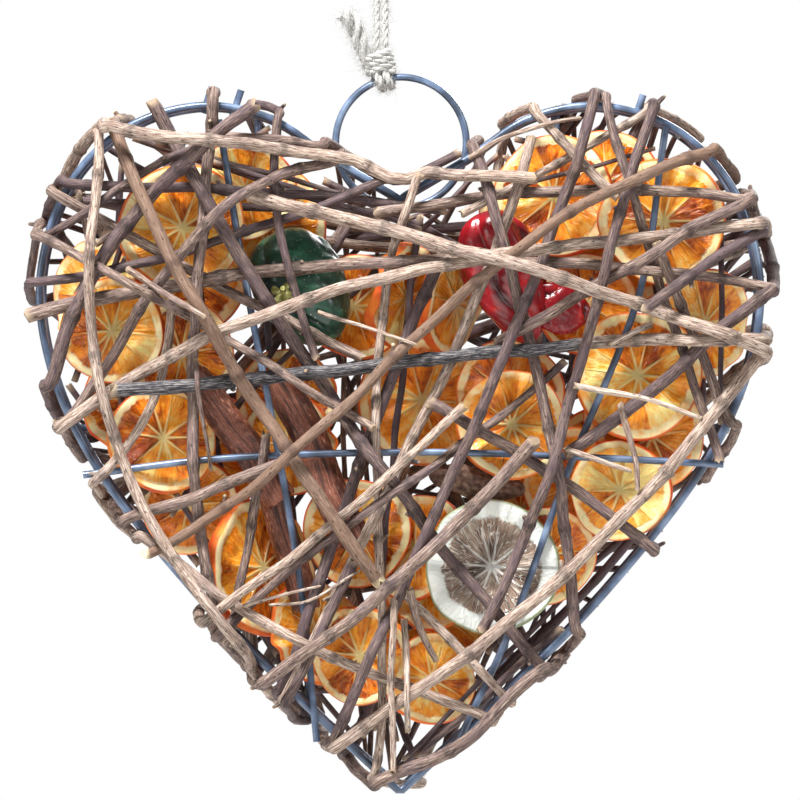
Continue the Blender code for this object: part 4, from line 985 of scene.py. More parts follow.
def citrus_finish(name, pulp, vein, veined, wall, pith, toast, peel, burnt, pith_from, glow):
    """Dried citrus: pulp in juice sacs about 2 mm wide and 7 mm long that point to the middle, buckled by the
    drying, with paler skins between them, walls about a millimetre thick, a chalky pith and a blotched peel.
    The cell attribute counts in millimetres, so the sacs' scale does too."""
    made, tree, shader = finish_tree(name)
    out = add(tree, "ShaderNodeAttribute", attribute_name="reach")
    beside = add(tree, "ShaderNodeAttribute", attribute_name="gap")
    polar = add(tree, "ShaderNodeAttribute", attribute_name="cell")
    own = add(tree, "ShaderNodeAttribute", attribute_name="tone")
    where = add(tree, "ShaderNodeTexCoord")
    buckle = add(tree, "ShaderNodeTexNoise", [
        ("Vector", where.outputs["Object"]), ("Scale", 0.26 * PER_MM), ("Detail", 2)])
    centred = add(tree, "ShaderNodeVectorMath", [(0, buckle.outputs["Color"]), (1, (0.5, 0.5, 0.5))],
                  operation="SUBTRACT")
    bent = add(tree, "ShaderNodeVectorMath", [
        (0, centred.outputs[0]), (1, (3.4, 6.5, 0.0)), (2, polar.outputs["Vector"])],
        operation="MULTIPLY_ADD")
    sacs = add(tree, "ShaderNodeMapping", [("Vector", bent.outputs[0]), ("Scale", (0.46, 0.15, 1.0))])
    sac = add(tree, "ShaderNodeTexVoronoi", [("Vector", sacs.outputs["Vector"]), ("Scale", 1.0)],
              feature="DISTANCE_TO_EDGE")
    fine = add(tree, "ShaderNodeTexNoise", [
        ("Vector", sacs.outputs["Vector"]), ("Scale", 1.2), ("Detail", 4)])
    blotch = add(tree, "ShaderNodeTexNoise", [
        ("Vector", where.outputs["Object"]), ("Scale", 0.12 * PER_MM), ("Detail", 7), ("Roughness", 0.6)])
    mixed = add(tree, "ShaderNodeMath", [(0, fine.outputs["Fac"]), (1, 0.45), (2, blotch.outputs["Fac"])],
                operation="MULTIPLY_ADD")
    shaded = add(tree, "ShaderNodeMath", [(0, mixed.outputs[0]), (1, own.outputs["Fac"])], operation="ADD")
    spread = add(tree, "ShaderNodeMapRange", [
        ("Value", shaded.outputs[0]), ("From Min", 0.45), ("From Max", 1.0)])
    flesh = add(tree, "ShaderNodeValToRGB", [("Fac", spread.outputs[0])],
                stops=[(0.05, burnt), (0.95, pulp[2]), (0.28, pulp[0]), (0.6, pulp[1])])
    skins = add(tree, "ShaderNodeMapRange", [
        ("Value", sac.outputs["Distance"]), ("From Min", 0.0), ("From Max", 0.13),
        ("To Min", veined), ("To Max", 0.0)])
    sinewy = add(tree, "ShaderNodeMix", [
        (0, skins.outputs[0]), (6, flesh.outputs["Color"]), (7, linear(vein))], data_type="RGBA")
    # Walls widen toward the middle, where they join in a star
    widening = add(tree, "ShaderNodeMath", [(0, 1.35), (1, out.outputs["Fac"])], operation="SUBTRACT")
    waver = add(tree, "ShaderNodeMath", [(0, fine.outputs["Fac"]), (1, 0.5), (2, beside.outputs["Fac"])],
                operation="MULTIPLY_ADD")
    narrowed = add(tree, "ShaderNodeMath", [(0, waver.outputs[0]), (1, widening.outputs[0])],
                   operation="DIVIDE")
    near = add(tree, "ShaderNodeMapRange", [
        ("Value", narrowed.outputs[0]), ("From Min", 0.4), ("From Max", 0.85),
        ("To Min", 0.88), ("To Max", 0.0)])
    walled = add(tree, "ShaderNodeMix", [(0, near.outputs[0]), (6, sinewy.outputs[2]), (7, linear(wall))],
                 data_type="RGBA")
    ragged = add(tree, "ShaderNodeMath", [(0, buckle.outputs["Fac"]), (1, 0.16), (2, out.outputs["Fac"])],
                 operation="MULTIPLY_ADD")
    core = add(tree, "ShaderNodeMapRange", [
        ("Value", ragged.outputs[0]), ("From Min", 0.13), ("From Max", 0.2),
        ("To Min", 0.9), ("To Max", 0.0)])
    cored = add(tree, "ShaderNodeMix", [(0, core.outputs[0]), (6, walled.outputs[2]), (7, linear(wall))],
                data_type="RGBA")
    # The pith's edge is ragged, it is toasted in places, and the peel round it is thin
    whitish = add(tree, "ShaderNodeMapRange", [
        ("Value", ragged.outputs[0]), ("From Min", pith_from + 0.05), ("From Max", pith_from + 0.09)])
    toasted = add(tree, "ShaderNodeMapRange", [
        ("Value", blotch.outputs["Fac"]), ("From Min", 0.47), ("From Max", 0.68), ("To Max", toast)])
    pith_tone = add(tree, "ShaderNodeMix", [
        (0, toasted.outputs[0]), (6, linear(pith)), (7, linear(pulp[1]))], data_type="RGBA")
    pithy = add(tree, "ShaderNodeMix", [
        (0, whitish.outputs[0]), (6, cored.outputs[2]), (7, pith_tone.outputs[2])], data_type="RGBA")
    skin = add(tree, "ShaderNodeValToRGB", [("Fac", blotch.outputs["Fac"])],
               stops=[(0.35, peel[0]), (0.7, peel[1])])
    rind = add(tree, "ShaderNodeMapRange", [
        ("Value", out.outputs["Fac"]), ("From Min", 0.955), ("From Max", 0.985)])
    peeled = add(tree, "ShaderNodeMix", [
        (0, rind.outputs[0]), (6, pithy.outputs[2]), (7, skin.outputs["Color"])], data_type="RGBA")
    tree.links.new(peeled.outputs[2], shader.inputs["Base Color"])
    # The pulp is glossy and the pith is matt
    gloss = add(tree, "ShaderNodeMapRange", [
        ("Value", whitish.outputs[0]), ("To Min", 0.22), ("To Max", 0.7)])
    tree.links.new(gloss.outputs[0], shader.inputs["Roughness"])
    shader.inputs["Subsurface Weight"].default_value = glow
    shader.inputs["Subsurface Radius"].default_value = (1.0, 0.45, 0.12)
    shader.inputs["Subsurface Scale"].default_value = 0.002
    ridge = add(tree, "ShaderNodeMapRange", [
        ("Value", narrowed.outputs[0]), ("From Min", 0.2), ("From Max", 1.2),
        ("To Min", 0.9), ("To Max", 0.0)])
    raised_skins = add(tree, "ShaderNodeMath", [(0, skins.outputs[0]), (1, 0.8), (2, mixed.outputs[0])],
                       operation="MULTIPLY_ADD")
    pulpy = add(tree, "ShaderNodeMapRange", [("Value", whitish.outputs[0]), ("To Min", 1.0), ("To Max", 0.3)])
    calmed = add(tree, "ShaderNodeMath", [(0, raised_skins.outputs[0]), (1, pulpy.outputs[0])],
                 operation="MULTIPLY")
    height = add(tree, "ShaderNodeMath", [(0, calmed.outputs[0]), (1, ridge.outputs[0])], operation="ADD")
    raised = add(tree, "ShaderNodeBump", [
        ("Height", height.outputs[0]), ("Strength", 1.0), ("Distance", 0.0009)])
    tree.links.new(raised.outputs["Normal"], shader.inputs["Normal"])
    return made


ORANGE_PITH_FROM = 0.85
DRIED_ORANGE = citrus_finish(
    "dried_orange_slice", pulp=("#E0720F", "#FFA62C", "#FFE491"), vein="#FFC95E", veined=0.18,
    wall="#FFE39A", pith="#FFEBB4", toast=0.9, peel=("#DC450D", "#F78A26"), burnt="#9C3A08",
    pith_from=ORANGE_PITH_FROM, glow=0.2)
for number in range(1, ORANGE_SLICES + 1):
    node = f"orange_slice_{number:02d}"
    slice_rng = np.random.default_rng(300 + number)
    places, faces, reach, gap, cell, shade = citrus_slice(slice_lie(node), SEGMENTS, ORANGE_PITH_FROM,
                                                          slice_rng)
    piece(f"dried_{node}", places, faces, DRIED_ORANGE, "dried_orange", [node], SLICE_SHARP,
          reach=reach, gap=gap, cell=cell, tone=shade + slice_rng.uniform(*SLICE_SHADES))


# Small slices: rounds from the ends of the oranges, curled as they dried and tucked in where there is room.
# The largest are tried first, and each is kept only where it touches no fruit, wire or other small slice.
SMALL_SLICES = 18
SMALL_TRIES = 4000
SMALL_WIDTH = (0.044, 0.024)
SMALL_HALF = 0.0013
SMALL_DEPTH = 0.015
SMALL_CURL = 0.0016
SMALL_SIDES = 24
SMALL_SHARES = (0.3, 0.95)
SMALL_LEAN = 42
SMALL_OUTLINE = 0.0005
SMALL_GUARD = 1.04
RIM_ROOM = 0.002
cage_nodes = [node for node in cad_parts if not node.startswith(("vine", "twine", "hanging"))]
corners, triangles = [], []
for node in cage_nodes:
    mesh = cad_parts[node].data
    base = len(corners)
    corners += [vertex.co.copy() for vertex in mesh.vertices]
    triangles += [[base + corner for corner in face.vertices] for face in mesh.polygons]
cage_tree = BVHTree.FromPolygons(corners, triangles)


def turned(places, lean=0.0, roll=0.0, turn=0.0):
    """Places turned about X, then Y, then Z, by degrees."""
    matrix = np.array(Euler((math.radians(lean), math.radians(roll), math.radians(turn))).to_matrix())
    return places @ matrix.T


def disc_clear(lie):
    """True where a plain bent disc of the slice's size lies in the cage and cuts nothing there."""
    middle, (across, up, out), half, _, bend, outline = lie
    t = np.arange(SMALL_SIDES)[:, None] / SMALL_SIDES * math.tau
    rim = outline[0] * SMALL_GUARD * (np.cos(t) * across + np.sin(t) * up)
    level = bend[1] * np.cos(2 * t) + bend[2] * np.sin(2 * t)
    disc = np.vstack([middle + rim + (level - half) * out, middle + rim + (level + half) * out])
    if np.abs(disc[:, 1]).max() > HOOP_Y or past_rim(disc[:, [0, 2]])[0].max() > -RIM_ROOM:
        return False
    tree = BVHTree.FromPolygons(disc.tolist(), ring_faces(2, SMALL_SIDES))
    if cage_tree.overlap(tree) or any(other.overlap(tree) for other in small_trees):
        return False
    small_trees.append(tree)
    return True


small_rng = np.random.default_rng(8)
small_trees = []
for attempt in range(SMALL_TRIES):
    x, z = near_rim(small_rng.uniform(0, 100), small_rng.uniform(*SMALL_SHARES))
    middle = TIP + np.array([x, small_rng.uniform(-SMALL_DEPTH, SMALL_DEPTH), z])
    lean = small_rng.uniform(-SMALL_LEAN, SMALL_LEAN)
    roll = small_rng.uniform(0, 360)
    turn = small_rng.uniform(-SMALL_LEAN, SMALL_LEAN)
    axes = turned(np.array([(1.0, 0, 0), (0, 0, 1.0), (0, -1.0, 0)]), lean, roll, turn)
    width = np.interp(attempt, (0, SMALL_TRIES), SMALL_WIDTH)
    bend = (0.0, *small_rng.normal(0, SMALL_CURL, 2))
    outline = (width / 2, *small_rng.normal(0, SMALL_OUTLINE, 2))
    lie = (middle, axes, SMALL_HALF, 0.0, bend, outline)
    if not disc_clear(lie):
        continue
    places, faces, reach, gap, cell, shade = citrus_slice(lie, SEGMENTS, ORANGE_PITH_FROM, small_rng)
    piece(f"small_orange_slice_{len(small_trees):02d}", places, faces, DRIED_ORANGE, "dried_orange", (),
          SLICE_SHARP, reach=reach, gap=gap, cell=cell, tone=shade + small_rng.uniform(*SLICE_SHADES))
    if len(small_trees) == SMALL_SLICES:
        break


# Dried lime slice: the same cut across a lime. Its pith dries thick and chalky white, its pulp goes straw
# brown, and its white walls and sac skins stand out like spokes.
LIME_PITH_FROM = 0.74
LIME_SHADES = 0.4
DRIED_LIME = citrus_finish(
    "dried_lime_slice", pulp=("#7A6152", "#A58C7A", "#D0BFAC"), vein="#EFE4D6", veined=0.8,
    wall="#FBF8F0", pith="#F4F8F1", toast=0.12, peel=("#8E9A6E", "#C4CCA8"), burnt="#4A3328",
    pith_from=LIME_PITH_FROM, glow=0.05)
lime_rng = np.random.default_rng(400)
places, faces, reach, gap, cell, shade = citrus_slice(slice_lie("lime_slice"), SEGMENTS, LIME_PITH_FROM,
                                                      lime_rng)
piece("dried_lime_slice", places, faces, DRIED_LIME, "dried_lime", ["lime_slice"], SLICE_SHARP,
      reach=reach, gap=gap, cell=cell, tone=shade * LIME_SHADES)


# Dried peppers: hollow fruits whose thin skin crumples into lengthwise folds as it dries, but keeps its
# shine. One is a bottle green bell pepper with its calyx, the other a crimson one.
PEPPER_ROWS = 90
PEPPER_COLUMNS = 160
PEPPER_SHARP = 70
POLE = 0.035
FULLNESS = 0.8
FOLD_EDGE = 0.7
MINOR_EDGE = 0.8
SKIN_CRUMPLE = 0.018


def centred_in(places, box):
    """The places, moved so that the middle of their box is the middle of the other box."""
    middle = np.mean([tuple(corner) for corner in box], axis=0)
    return places + (middle - (places.min(0) + places.max(0)) / 2)


def dried_pepper(box, width, depth, height, folds, pinch, crease, minor_share, **angles):
    """Skin over latitude p and angle a: a ball stretched to width, depth and height, narrower at its foot by
    the pinch. It is creased by sharp folds 1 - |sin(folds a / 2 + drift)| and by minor ones of the same kind,
    two for each fold and one more, and crumpled all over."""
    p = np.linspace(POLE, math.pi - POLE, PEPPER_ROWS)[:, None]
    a = np.arange(PEPPER_COLUMNS)[None] / PEPPER_COLUMNS * math.tau
    z = np.cos(p)
    body = np.sin(p) ** FULLNESS
    drift = 0.5 * np.sin(2.1 * z + 1.0) + 0.25 * np.sin(5 * z + 2 * a)
    deep = 1 - np.abs(np.sin(folds * a / 2 + drift)) ** FOLD_EDGE
    minor = 1 - np.abs(np.sin((folds * 2 + 1) * a / 2 + 3 * drift + 1.3 * z)) ** MINOR_EDGE
    crumple = np.sin(9 * a + 7 * z + 3 * np.sin(4 * z)) * np.sin(11 * z + 2 * np.sin(3 * a))
    out = body * (1.03 - crease * deep - crease * minor_share * minor + SKIN_CRUMPLE * crumple)
    out = out * (1 - pinch * (0.5 - 0.5 * z))
    places = np.stack([out * np.cos(a) * width / 2, out * np.sin(a) * depth / 2,
                       (z - 0.10 * body * deep * z) * height / 2 + 0 * a], -1)
    places = centred_in(turned(places.reshape(-1, 3), **angles), box)
    # Painted shade: the deeper a point lies in a fold, the larger its share of the dark deep colour, less
    # toward the poles
    hollow = np.clip(deep * 1.1 + minor * minor_share, 0, 1) * np.sin(p)
    return places, ring_faces(PEPPER_ROWS, PEPPER_COLUMNS), hollow.ravel()


def pepper_finish(name, deep, skin, bright, blotch, rough, specks):
    """Waxy dried skin: painted shade toward the deep colour in its folds, by each point's share of fold shade,
    blotched in patches of 8 mm, finely wrinkled and glossy, with as many pale specks, 2 mm apart, as asked
    for."""
    made, tree, shader = finish_tree(name)
    fold_shade_node = add(tree, "ShaderNodeAttribute", attribute_name="hollow")
    where = add(tree, "ShaderNodeTexCoord")
    patches = add(tree, "ShaderNodeTexNoise", [
        ("Vector", where.outputs["Object"]), ("Scale", 0.13 * PER_MM), ("Detail", 4)])
    wrinkle = add(tree, "ShaderNodeTexNoise", [
        ("Vector", where.outputs["Object"]), ("Scale", 0.52 * PER_MM), ("Detail", 5), ("Roughness", 0.6)])
    tone = add(tree, "ShaderNodeValToRGB", [("Fac", patches.outputs["Fac"])],
               stops=[(0.35, skin), (0.72, bright), (0.6, blotch)])
    # Painted shade: the skin goes toward the deep colour where its fold shade is high
    shade = add(tree, "ShaderNodeMapRange", [
        ("Value", fold_shade_node.outputs["Fac"]), ("From Min", 0.5), ("From Max", 1.0), ("To Max", 0.95)])
    mixed = add(tree, "ShaderNodeMix", [(0, shade.outputs[0]), (6, tone.outputs["Color"]), (7, linear(deep))],
                data_type="RGBA")
    dots = add(tree, "ShaderNodeTexVoronoi", [("Vector", where.outputs["Object"]), ("Scale", 0.42 * PER_MM)])
    dot = add(tree, "ShaderNodeMapRange", [
        ("Value", dots.outputs["Distance"]), ("From Min", 0.07), ("From Max", 0.13),
        ("To Min", specks), ("To Max", 0.0)])
    dotted = add(tree, "ShaderNodeMix", [(0, dot.outputs[0]), (6, mixed.outputs[2]), (7, linear("#C9DCC9"))],
                 data_type="RGBA")
    tree.links.new(dotted.outputs[2], shader.inputs["Base Color"])
    raised = add(tree, "ShaderNodeBump", [
        ("Height", wrinkle.outputs["Fac"]), ("Strength", 0.5), ("Distance", 0.0005)])
    tree.links.new(raised.outputs["Normal"], shader.inputs["Normal"])
    shader.inputs["Roughness"].default_value = rough
    shader.inputs["Coat Weight"].default_value = 0.5
    shader.inputs["Coat Roughness"].default_value = 0.15
    return made


# deep is the colour of the painted shade in the folds, nearly black on both peppers
GREEN_SKIN = pepper_finish("dried_green_pepper_skin", deep="#020806", skin="#0C2E21", bright="#3B7A59",
                           blotch="#174734", rough=0.28, specks=0.6)
RED_SKIN = pepper_finish("dried_red_pepper_skin", deep="#2A0206", skin="#7E0916", bright="#CB2620",
                         blotch="#A00E1C", rough=0.24, specks=0.0)
places, faces, hollow = dried_pepper(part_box("green_pepper"), width=.0420, depth=.0300, height=.0500, folds=3,
                                     pinch=.25, crease=.04, minor_share=.3, turn=10, lean=-12, roll=-28)
piece("dried_green_pepper", places, faces, GREEN_SKIN, "green_skin", ["green_pepper"], PEPPER_SHARP,
      hollow=hollow)
# Its calyx, a dry yellow-green star of five lobes with the stub of its stem, sits on the front of the skin.
# Each row is a radius and a depth, from the stub's end to the lobes, which go by cos 5a and cos 11a.
CALYX_UP = 0.1994
CALYX_ACROSS = -0.0470
CALYX_ROWS = [(.0009, -.0062), (.0012, -.0050), (.0011, -.0022), (.0026, -.0012), (.0044, -.0003),
              (.0044, .0006)]
CALYX_COLUMNS = 40
STEM_RADIUS = 0.002
SEAT_RADIUS = 0.003
a = np.arange(CALYX_COLUMNS) / CALYX_COLUMNS * math.tau
r, out = np.array(CALYX_ROWS).T[:, :, None]
lobes = np.where(r > STEM_RADIUS, 1 + 0.34 * np.cos(5 * a) + 0.08 * np.cos(11 * a), 1 + 0.1 * np.cos(5 * a))
seat = TIP + (CALYX_ACROSS, 0, CALYX_UP)
under = np.hypot(*(places - seat)[:, [0, 2]].T) < SEAT_RADIUS
seat[1] = places[under, 1].min()
calyx = seat + np.stack([r * lobes * np.cos(a), out + 0 * a, r * lobes * np.sin(a) - out * 0.5], -1)
DRY_CALYX, tree, shader = finish_tree("dry_pepper_calyx")
where = add(tree, "ShaderNodeTexCoord")
fleck = add(tree, "ShaderNodeTexNoise",
            [("Vector", where.outputs["Object"]), ("Scale", 0.7 * PER_MM), ("Detail", 4)])
tone = add(tree, "ShaderNodeValToRGB", [("Fac", fleck.outputs["Fac"])],
           stops=[(0.3, "#56501F"), (0.7, "#D9D79B"), (0.5, "#9C9A52")])
tree.links.new(tone.outputs["Color"], shader.inputs["Base Color"])
shader.inputs["Roughness"].default_value = 0.8
piece("dried_pepper_calyx", calyx, ring_faces(len(CALYX_ROWS), CALYX_COLUMNS), DRY_CALYX, None, (),
      BARK_SHARP)

places, faces, hollow = dried_pepper(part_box("red_pepper"), width=.0400, depth=.0250, height=.0560, folds=4,
                                     pinch=.35, crease=.20, minor_share=.25, turn=-14, lean=8, roll=-20)
piece("dried_red_pepper", places, faces, RED_SKIN, "red_skin", ["red_pepper"], PEPPER_SHARP, hollow=hollow)
# A torn flap of the red pepper's wall lies right of it, in front of the slices
RED_FLAP = [TIP + (.0495, -.0195, .1850), TIP + (.0795, -.0085, .2040)]
places, faces, hollow = dried_pepper(RED_FLAP, width=.0280, depth=.0090, height=.0200, folds=3, pinch=.20,
                                     crease=.22, minor_share=.3, roll=24)
piece("torn_red_pepper_flap", places, faces, RED_SKIN, "red_skin", (), PEPPER_SHARP, hollow=hollow)


# Cinnamon sticks: quills of bark that roll in from both edges as they dry. The bark is 1.6 mm thick and
# finely grooved along its length. The sticks lie behind the twigs, held by them.
# Each is given by its node, diameter, length and tilt in degrees
CINNAMON = [("cinnamon_1", .0140, .062, 36), ("cinnamon_2", .0150, .074, 25), ("cinnamon_3", .0120, .062, 18)]
CINNAMON_WALL = 0.0016
QUILL_TURN = math.radians(302)
QUILL_TIGHTENS = 0.55
QUILL_TIGHTENING = 0.55
QUILL_SPACING = 4.3
QUILL_CROWN = 0.34
QUILL_FLATTENED = 0.76
QUILL_STEPS = 26
QUILL_ROWS = 64
QUILL_ENDS = 0.985
QUILL_SHARP = 50
GROOVE = 0.00012
GROOVE_LENGTHS = (0.0012, 0.004)
GROOVE_WAVES = 8
SWAY = 0.0004
SWAY_LENGTHS = (0.02, 0.08)
TORN = 0.0006
TORN_LENGTHS = (0.002, 0.008)
ROUGH = 0.00005
GRAIN_APART = 0.01


def quill_scroll(diameter, side, wall):
    """One rolled half of a stick's section, from its middle, at a depth of wall into the bark. It is an arc
    whose radius tightens toward its end."""
    share = np.linspace(0, 1, QUILL_STEPS)
    angle = side * QUILL_TURN * share - math.pi / 2
    tightening = np.clip((share - QUILL_TIGHTENS) / (1 - QUILL_TIGHTENS), 0, 1)
    radius = diameter / 4 * (1 - QUILL_TIGHTENING * tightening) - wall
    return np.stack([side * diameter / QUILL_SPACING + radius * np.cos(angle), radius * np.sin(angle)], -1)


def cinnamon_stick(node, diameter, length, tilt, rng):
    """The section carried along Z, with grooves along the bark, a slow sway, and ends that are a little
    torn. Both scrolls' outer and inner walls make the closed section."""
    section = np.vstack([quill_scroll(diameter, 1, 0), quill_scroll(diameter, 1, CINNAMON_WALL)[:0:-1],
                         quill_scroll(diameter, -1, CINNAMON_WALL)[1:], quill_scroll(diameter, -1, 0)[:0:-1]])
    # The bark bulges between its two rolls: by the crown times 1 - (2x / diameter)^2
    section[:, 1] -= QUILL_CROWN * diameter * (1 - (2 * section[:, 0] / diameter) ** 2)
    section[:, 1] *= QUILL_FLATTENED
    z = np.linspace(-length / 2, length / 2, QUILL_ROWS)
    run = lengths_along(section)
    groove = GROOVE * ripple(rng, run, *GROOVE_LENGTHS, GROOVE_WAVES)
    ahead = np.roll(section, -1, 0) - np.roll(section, 1, 0)
    out = np.stack([ahead[:, 1], -ahead[:, 0]], -1)
    out /= np.maximum(np.linalg.norm(out, axis=1, keepdims=True), 1e-9)
    sway = SWAY * ripple(rng, z, *SWAY_LENGTHS)
    at_end = np.zeros((len(z), 1))
    at_end[0], at_end[-1] = -1, 1
    torn = at_end * TORN * ripple(rng, run, *TORN_LENGTHS)
    xy = section + groove[:, None] * out
    depth = ROUGH * rng.normal(0, 1, (len(z), len(run)))
    places = np.stack([xy[None, :, 0] + sway[:, None] + depth * out[:, 0], xy[None, :, 1] + depth * out[:, 1],
                       z[:, None] * QUILL_ENDS + torn], -1).reshape(-1, 3)
    places = centred_in(turned(places, roll=-tilt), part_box(node))
    # The grain's own axes: round the bark, along it, and a place of its own for each stick
    own_place = np.full(len(places), tilt * GRAIN_APART)
    grain = np.stack([np.tile(run, len(z)), np.repeat(z, len(run)), own_place], -1)
    return places, ring_faces(len(z), len(run)), grain


# Cassia bark: red brown and satin, with pale and dark streaks 0.8 mm wide and 3 mm long, and sooty smudges
# 8 mm wide and 20 mm long
CINNAMON_BARK, tree, shader = finish_tree("cinnamon_cassia_bark")
fibres = add(tree, "ShaderNodeAttribute", attribute_name="grain")
stretch = add(tree, "ShaderNodeMapping", [
    ("Vector", fibres.outputs["Vector"]), ("Scale", (1.3 * PER_MM, 0.33 * PER_MM, 0.05 * PER_MM))])
streaks = add(tree, "ShaderNodeTexNoise", [
    ("Vector", stretch.outputs["Vector"]), ("Scale", 1.0), ("Detail", 6), ("Roughness", 0.7)])
tone = add(tree, "ShaderNodeValToRGB", [("Fac", streaks.outputs["Fac"])],
           stops=[(0.33, "#220E0A"), (0.70, "#DBA88F"), (0.52, "#8A4C37")])
smear = add(tree, "ShaderNodeMapping", [
    ("Vector", fibres.outputs["Vector"]), ("Scale", (0.12 * PER_MM, 0.05 * PER_MM, 0.05 * PER_MM))])
smudge = add(tree, "ShaderNodeTexNoise", [("Vector", smear.outputs["Vector"]), ("Scale", 1.0), ("Detail", 4)])
sooty = add(tree, "ShaderNodeMapRange", [
    ("Value", smudge.outputs["Fac"]), ("From Min", 0.46), ("From Max", 0.64), ("To Max", 0.85)])
stained = add(tree, "ShaderNodeMix", [
    (0, sooty.outputs[0]), (6, tone.outputs["Color"]), (7, linear("#1F1316"))], data_type="RGBA")
tree.links.new(stained.outputs[2], shader.inputs["Base Color"])
shader.inputs["Roughness"].default_value = 0.48
raised = add(tree, "ShaderNodeBump", [
    ("Height", streaks.outputs["Fac"]), ("Strength", 0.6), ("Distance", 0.0003)])
tree.links.new(raised.outputs["Normal"], shader.inputs["Normal"])
for number, (node, diameter, length, tilt) in enumerate(CINNAMON):
    quill_rng = np.random.default_rng(600 + number)
    places, faces, grain = cinnamon_stick(node, diameter, length, tilt, quill_rng)
    piece(f"{node}_quill", places, faces, CINNAMON_BARK, "cinnamon_bark", [node], QUILL_SHARP, grain=grain)


# Brown pod: a small shrivelled seed pod between the twigs, with lengthwise wrinkles and pinched ends. It is a
# ball stretched along X, its section creased by 1 - |sin(4a + 1.5x)| and swollen by the slower sin(9x + 3a).
POD_LENGTH = 0.0400
POD_WIDTH = 0.0130
POD_DEPTH = 0.0120
POD_ROWS = 70
POD_COLUMNS = 72
POD_POLE = 0.03
POD_SHARP = 70
p = np.linspace(POD_POLE, math.pi - POD_POLE, POD_ROWS)[:, None]
a = np.arange(POD_COLUMNS)[None] / POD_COLUMNS * math.tau
x = np.cos(p)
wrinkle = 1 + 0.10 * np.sin(9 * x + 3 * a) - 0.16 * (1 - np.abs(np.sin(4 * a + 1.5 * x))) * np.sin(p)
places = np.stack([x * POD_LENGTH / 2 + 0 * a, np.sin(p) * wrinkle * np.sin(a) * POD_DEPTH / 2,
                   np.sin(p) * wrinkle * np.cos(a) * POD_WIDTH / 2], -1).reshape(-1, 3)
places = centred_in(turned(places, roll=10, turn=8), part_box("brown_pod"))
# Dry husk: matt, mottled brown in patches of 2 mm, with a wrinkled skin
BROWN_HUSK, tree, shader = finish_tree("shrivelled_pod_husk")
where = add(tree, "ShaderNodeTexCoord")
patches = add(tree, "ShaderNodeTexNoise", [
    ("Vector", where.outputs["Object"]), ("Scale", 0.42 * PER_MM), ("Detail", 5)])
tone = add(tree, "ShaderNodeValToRGB", [("Fac", patches.outputs["Fac"])],
           stops=[(0.3, "#38241B"), (0.75, "#A38570"), (0.5, "#6E5143")])
tree.links.new(tone.outputs["Color"], shader.inputs["Base Color"])
shader.inputs["Roughness"].default_value = 0.8
raised = add(tree, "ShaderNodeBump", [
    ("Height", patches.outputs["Fac"]), ("Strength", 0.8), ("Distance", 0.0005)])
tree.links.new(raised.outputs["Normal"], shader.inputs["Normal"])
piece("shrivelled_brown_pod", places, ring_faces(POD_ROWS, POD_COLUMNS), BROWN_HUSK, "brown_husk",
      ["brown_pod"], POD_SHARP)


# Inner shoots: twigs pushed through the cage between the fruit, from one place near the rim to another. They
# are kept only where they meet no fruit, wire or other inner shoot, so there are fewer than the most.
MOST_INNER_SHOOTS = 80
INNER_TRIES = 20000
INNER_SPAN = (9, 80)
INNER_SHARES = (0.8, 0.98)
INNER_DEPTH = 0.017
INNER_THICKNESS = (0.0022, 0.0038)
# The inner shoots' tone is set dark as painted shade, for the shade between the fruit
INNER_SHADE_TONE = 0.7
ROD_RAYS = 6
ROD_ROOM = 0.0006
ROD_GAP = 0.0008
ROD_POINTS = 60
RIM_POINTS = 40


def runs_clear(a, b, radius):
    """True where rays along the middle and the skin of a round rod from a to b meet no fruit or wire."""
    way = Vector(b - a)
    length = way.length
    way.normalize()
    side = way.orthogonal().normalized()
    up = way.cross(side)
    angles = [turn * math.tau / ROD_RAYS for turn in range(ROD_RAYS)]
    starts = [Vector(a)] + [Vector(a) + (side * math.cos(angle) + up * math.sin(angle)) * radius
                            for angle in angles]
    return not any(tree.ray_cast(start, way, length)[0]
                   for start in starts for tree in [cage_tree] + small_trees)


def rods_apart(a, b, c, d):
    """Least distance between two straight rods, from points along both."""
    share = np.linspace(0, 1, ROD_POINTS)[:, None]
    return np.linalg.norm((a + (b - a) * share)[:, None] - (c + (d - c) * share)[None], axis=2).min()


inner_rng = np.random.default_rng(5)
rods = []
for _ in range(INNER_TRIES):
    first = inner_rng.uniform(0, 100)
    ends = []
    for station in (first, first + inner_rng.uniform(*INNER_SPAN)):
        x, z = near_rim(station, inner_rng.uniform(*INNER_SHARES))
        ends.append(TIP + np.array([x, inner_rng.uniform(-INNER_DEPTH, INNER_DEPTH), z]))
    thick = inner_rng.uniform(*INNER_THICKNESS)
    flat = np.linspace(*ends, RIM_POINTS)[:, [0, 2]]
    if not within_heart(flat) or not runs_clear(*ends, thick / 2 + ROD_ROOM):
        continue
    if all(rods_apart(*ends, *rod[:2]) > (thick + rod[2]) / 2 + ROD_GAP for rod in rods):
        rods.append((*ends, thick))
    if len(rods) == MOST_INNER_SHOOTS:
        break
routes = []
for a, b, thick in rods:
    share = np.linspace(0, 1, round(np.linalg.norm(b - a) / SHOOT_STEP))[:, None]
    routes.append((a + (b - a) * share, thick, thick * SHOOT_TAPER))
shoots_piece("inner_shoots", routes, inner_rng, INNER_SHADE_TONE)


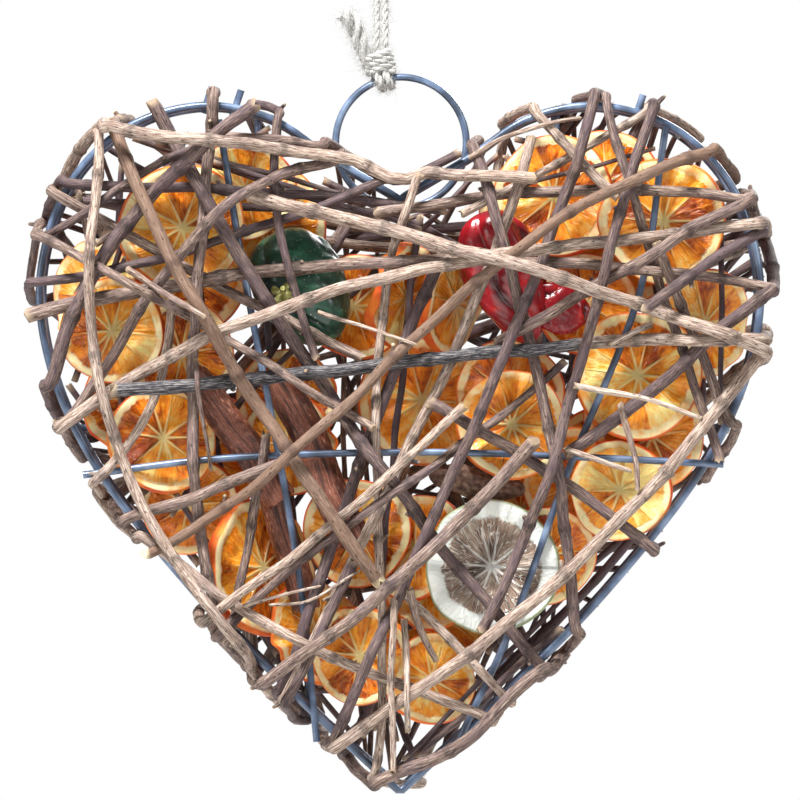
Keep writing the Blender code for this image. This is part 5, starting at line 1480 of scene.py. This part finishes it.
# Studio: white all round, as the camera sees it, with a pale floor under the heart. A soft box high on the
# left is the key, and weaker ones fill from the sides and the back, so the twigs are bright on top.
FLOOR_Z = -0.60
FLOOR_HALF = 6
WORLD_SEEN = 1.0
WORLD_LIGHT = 0.24
# Each soft box has its name, place, size in metres and power in watts
SOFT_BOXES = [("key_box", (-0.5, -0.95, 1.5), 0.5, 112), ("right_box", (1.5, -1.3, 0.5), 0.8, 14),
              ("left_box", (-1.6, -1.1, 0.0), 0.8, 10), ("back_box", (0.7, 1.5, 0.7), 0.8, 26)]
AIM = np.array([TIP[0], 0, TIP[2] + HEART_HEIGHT / 2])
FLOOR_CARD, tree, shader = finish_tree("pale_grey_card")
shader.inputs["Base Color"].default_value = linear("#D4D3D1")
shader.inputs["Roughness"].default_value = 0.9
floor_mesh = bpy.data.meshes.new("pale_floor")
floor_corners = [(x * FLOOR_HALF, y * FLOOR_HALF, FLOOR_Z) for x, y in ((-1, -1), (1, -1), (1, 1), (-1, 1))]
floor_mesh.from_pydata(floor_corners, [], [(0, 1, 2, 3)])
floor_mesh.materials.append(FLOOR_CARD)
floor = bpy.data.objects.new("pale_floor", floor_mesh)
bpy.context.scene.collection.objects.link(floor)
for name, place, size, power in SOFT_BOXES:
    lamp = bpy.data.objects.new(name, bpy.data.lights.new(name, "AREA"))
    lamp.data.shape = "SQUARE"
    lamp.data.size = size
    lamp.data.energy = power
    lamp.location = place
    toward = AIM - np.array(place)
    lamp.rotation_euler = (math.atan2(math.hypot(toward[0], toward[1]), -toward[2]), 0,
                           math.atan2(-toward[0], toward[1]))
    bpy.context.scene.collection.objects.link(lamp)
world = bpy.data.worlds.new("studio")
world.use_nodes = True
tree = world.node_tree
seen = add(tree, "ShaderNodeLightPath")
strength = add(tree, "ShaderNodeMapRange", [
    ("Value", seen.outputs["Is Camera Ray"]), ("To Min", WORLD_LIGHT), ("To Max", WORLD_SEEN)])
tree.nodes["Background"].inputs["Color"].default_value = linear("#FFFFFF")
tree.links.new(strength.outputs[0], tree.nodes["Background"].inputs["Strength"])
bpy.context.scene.world = world
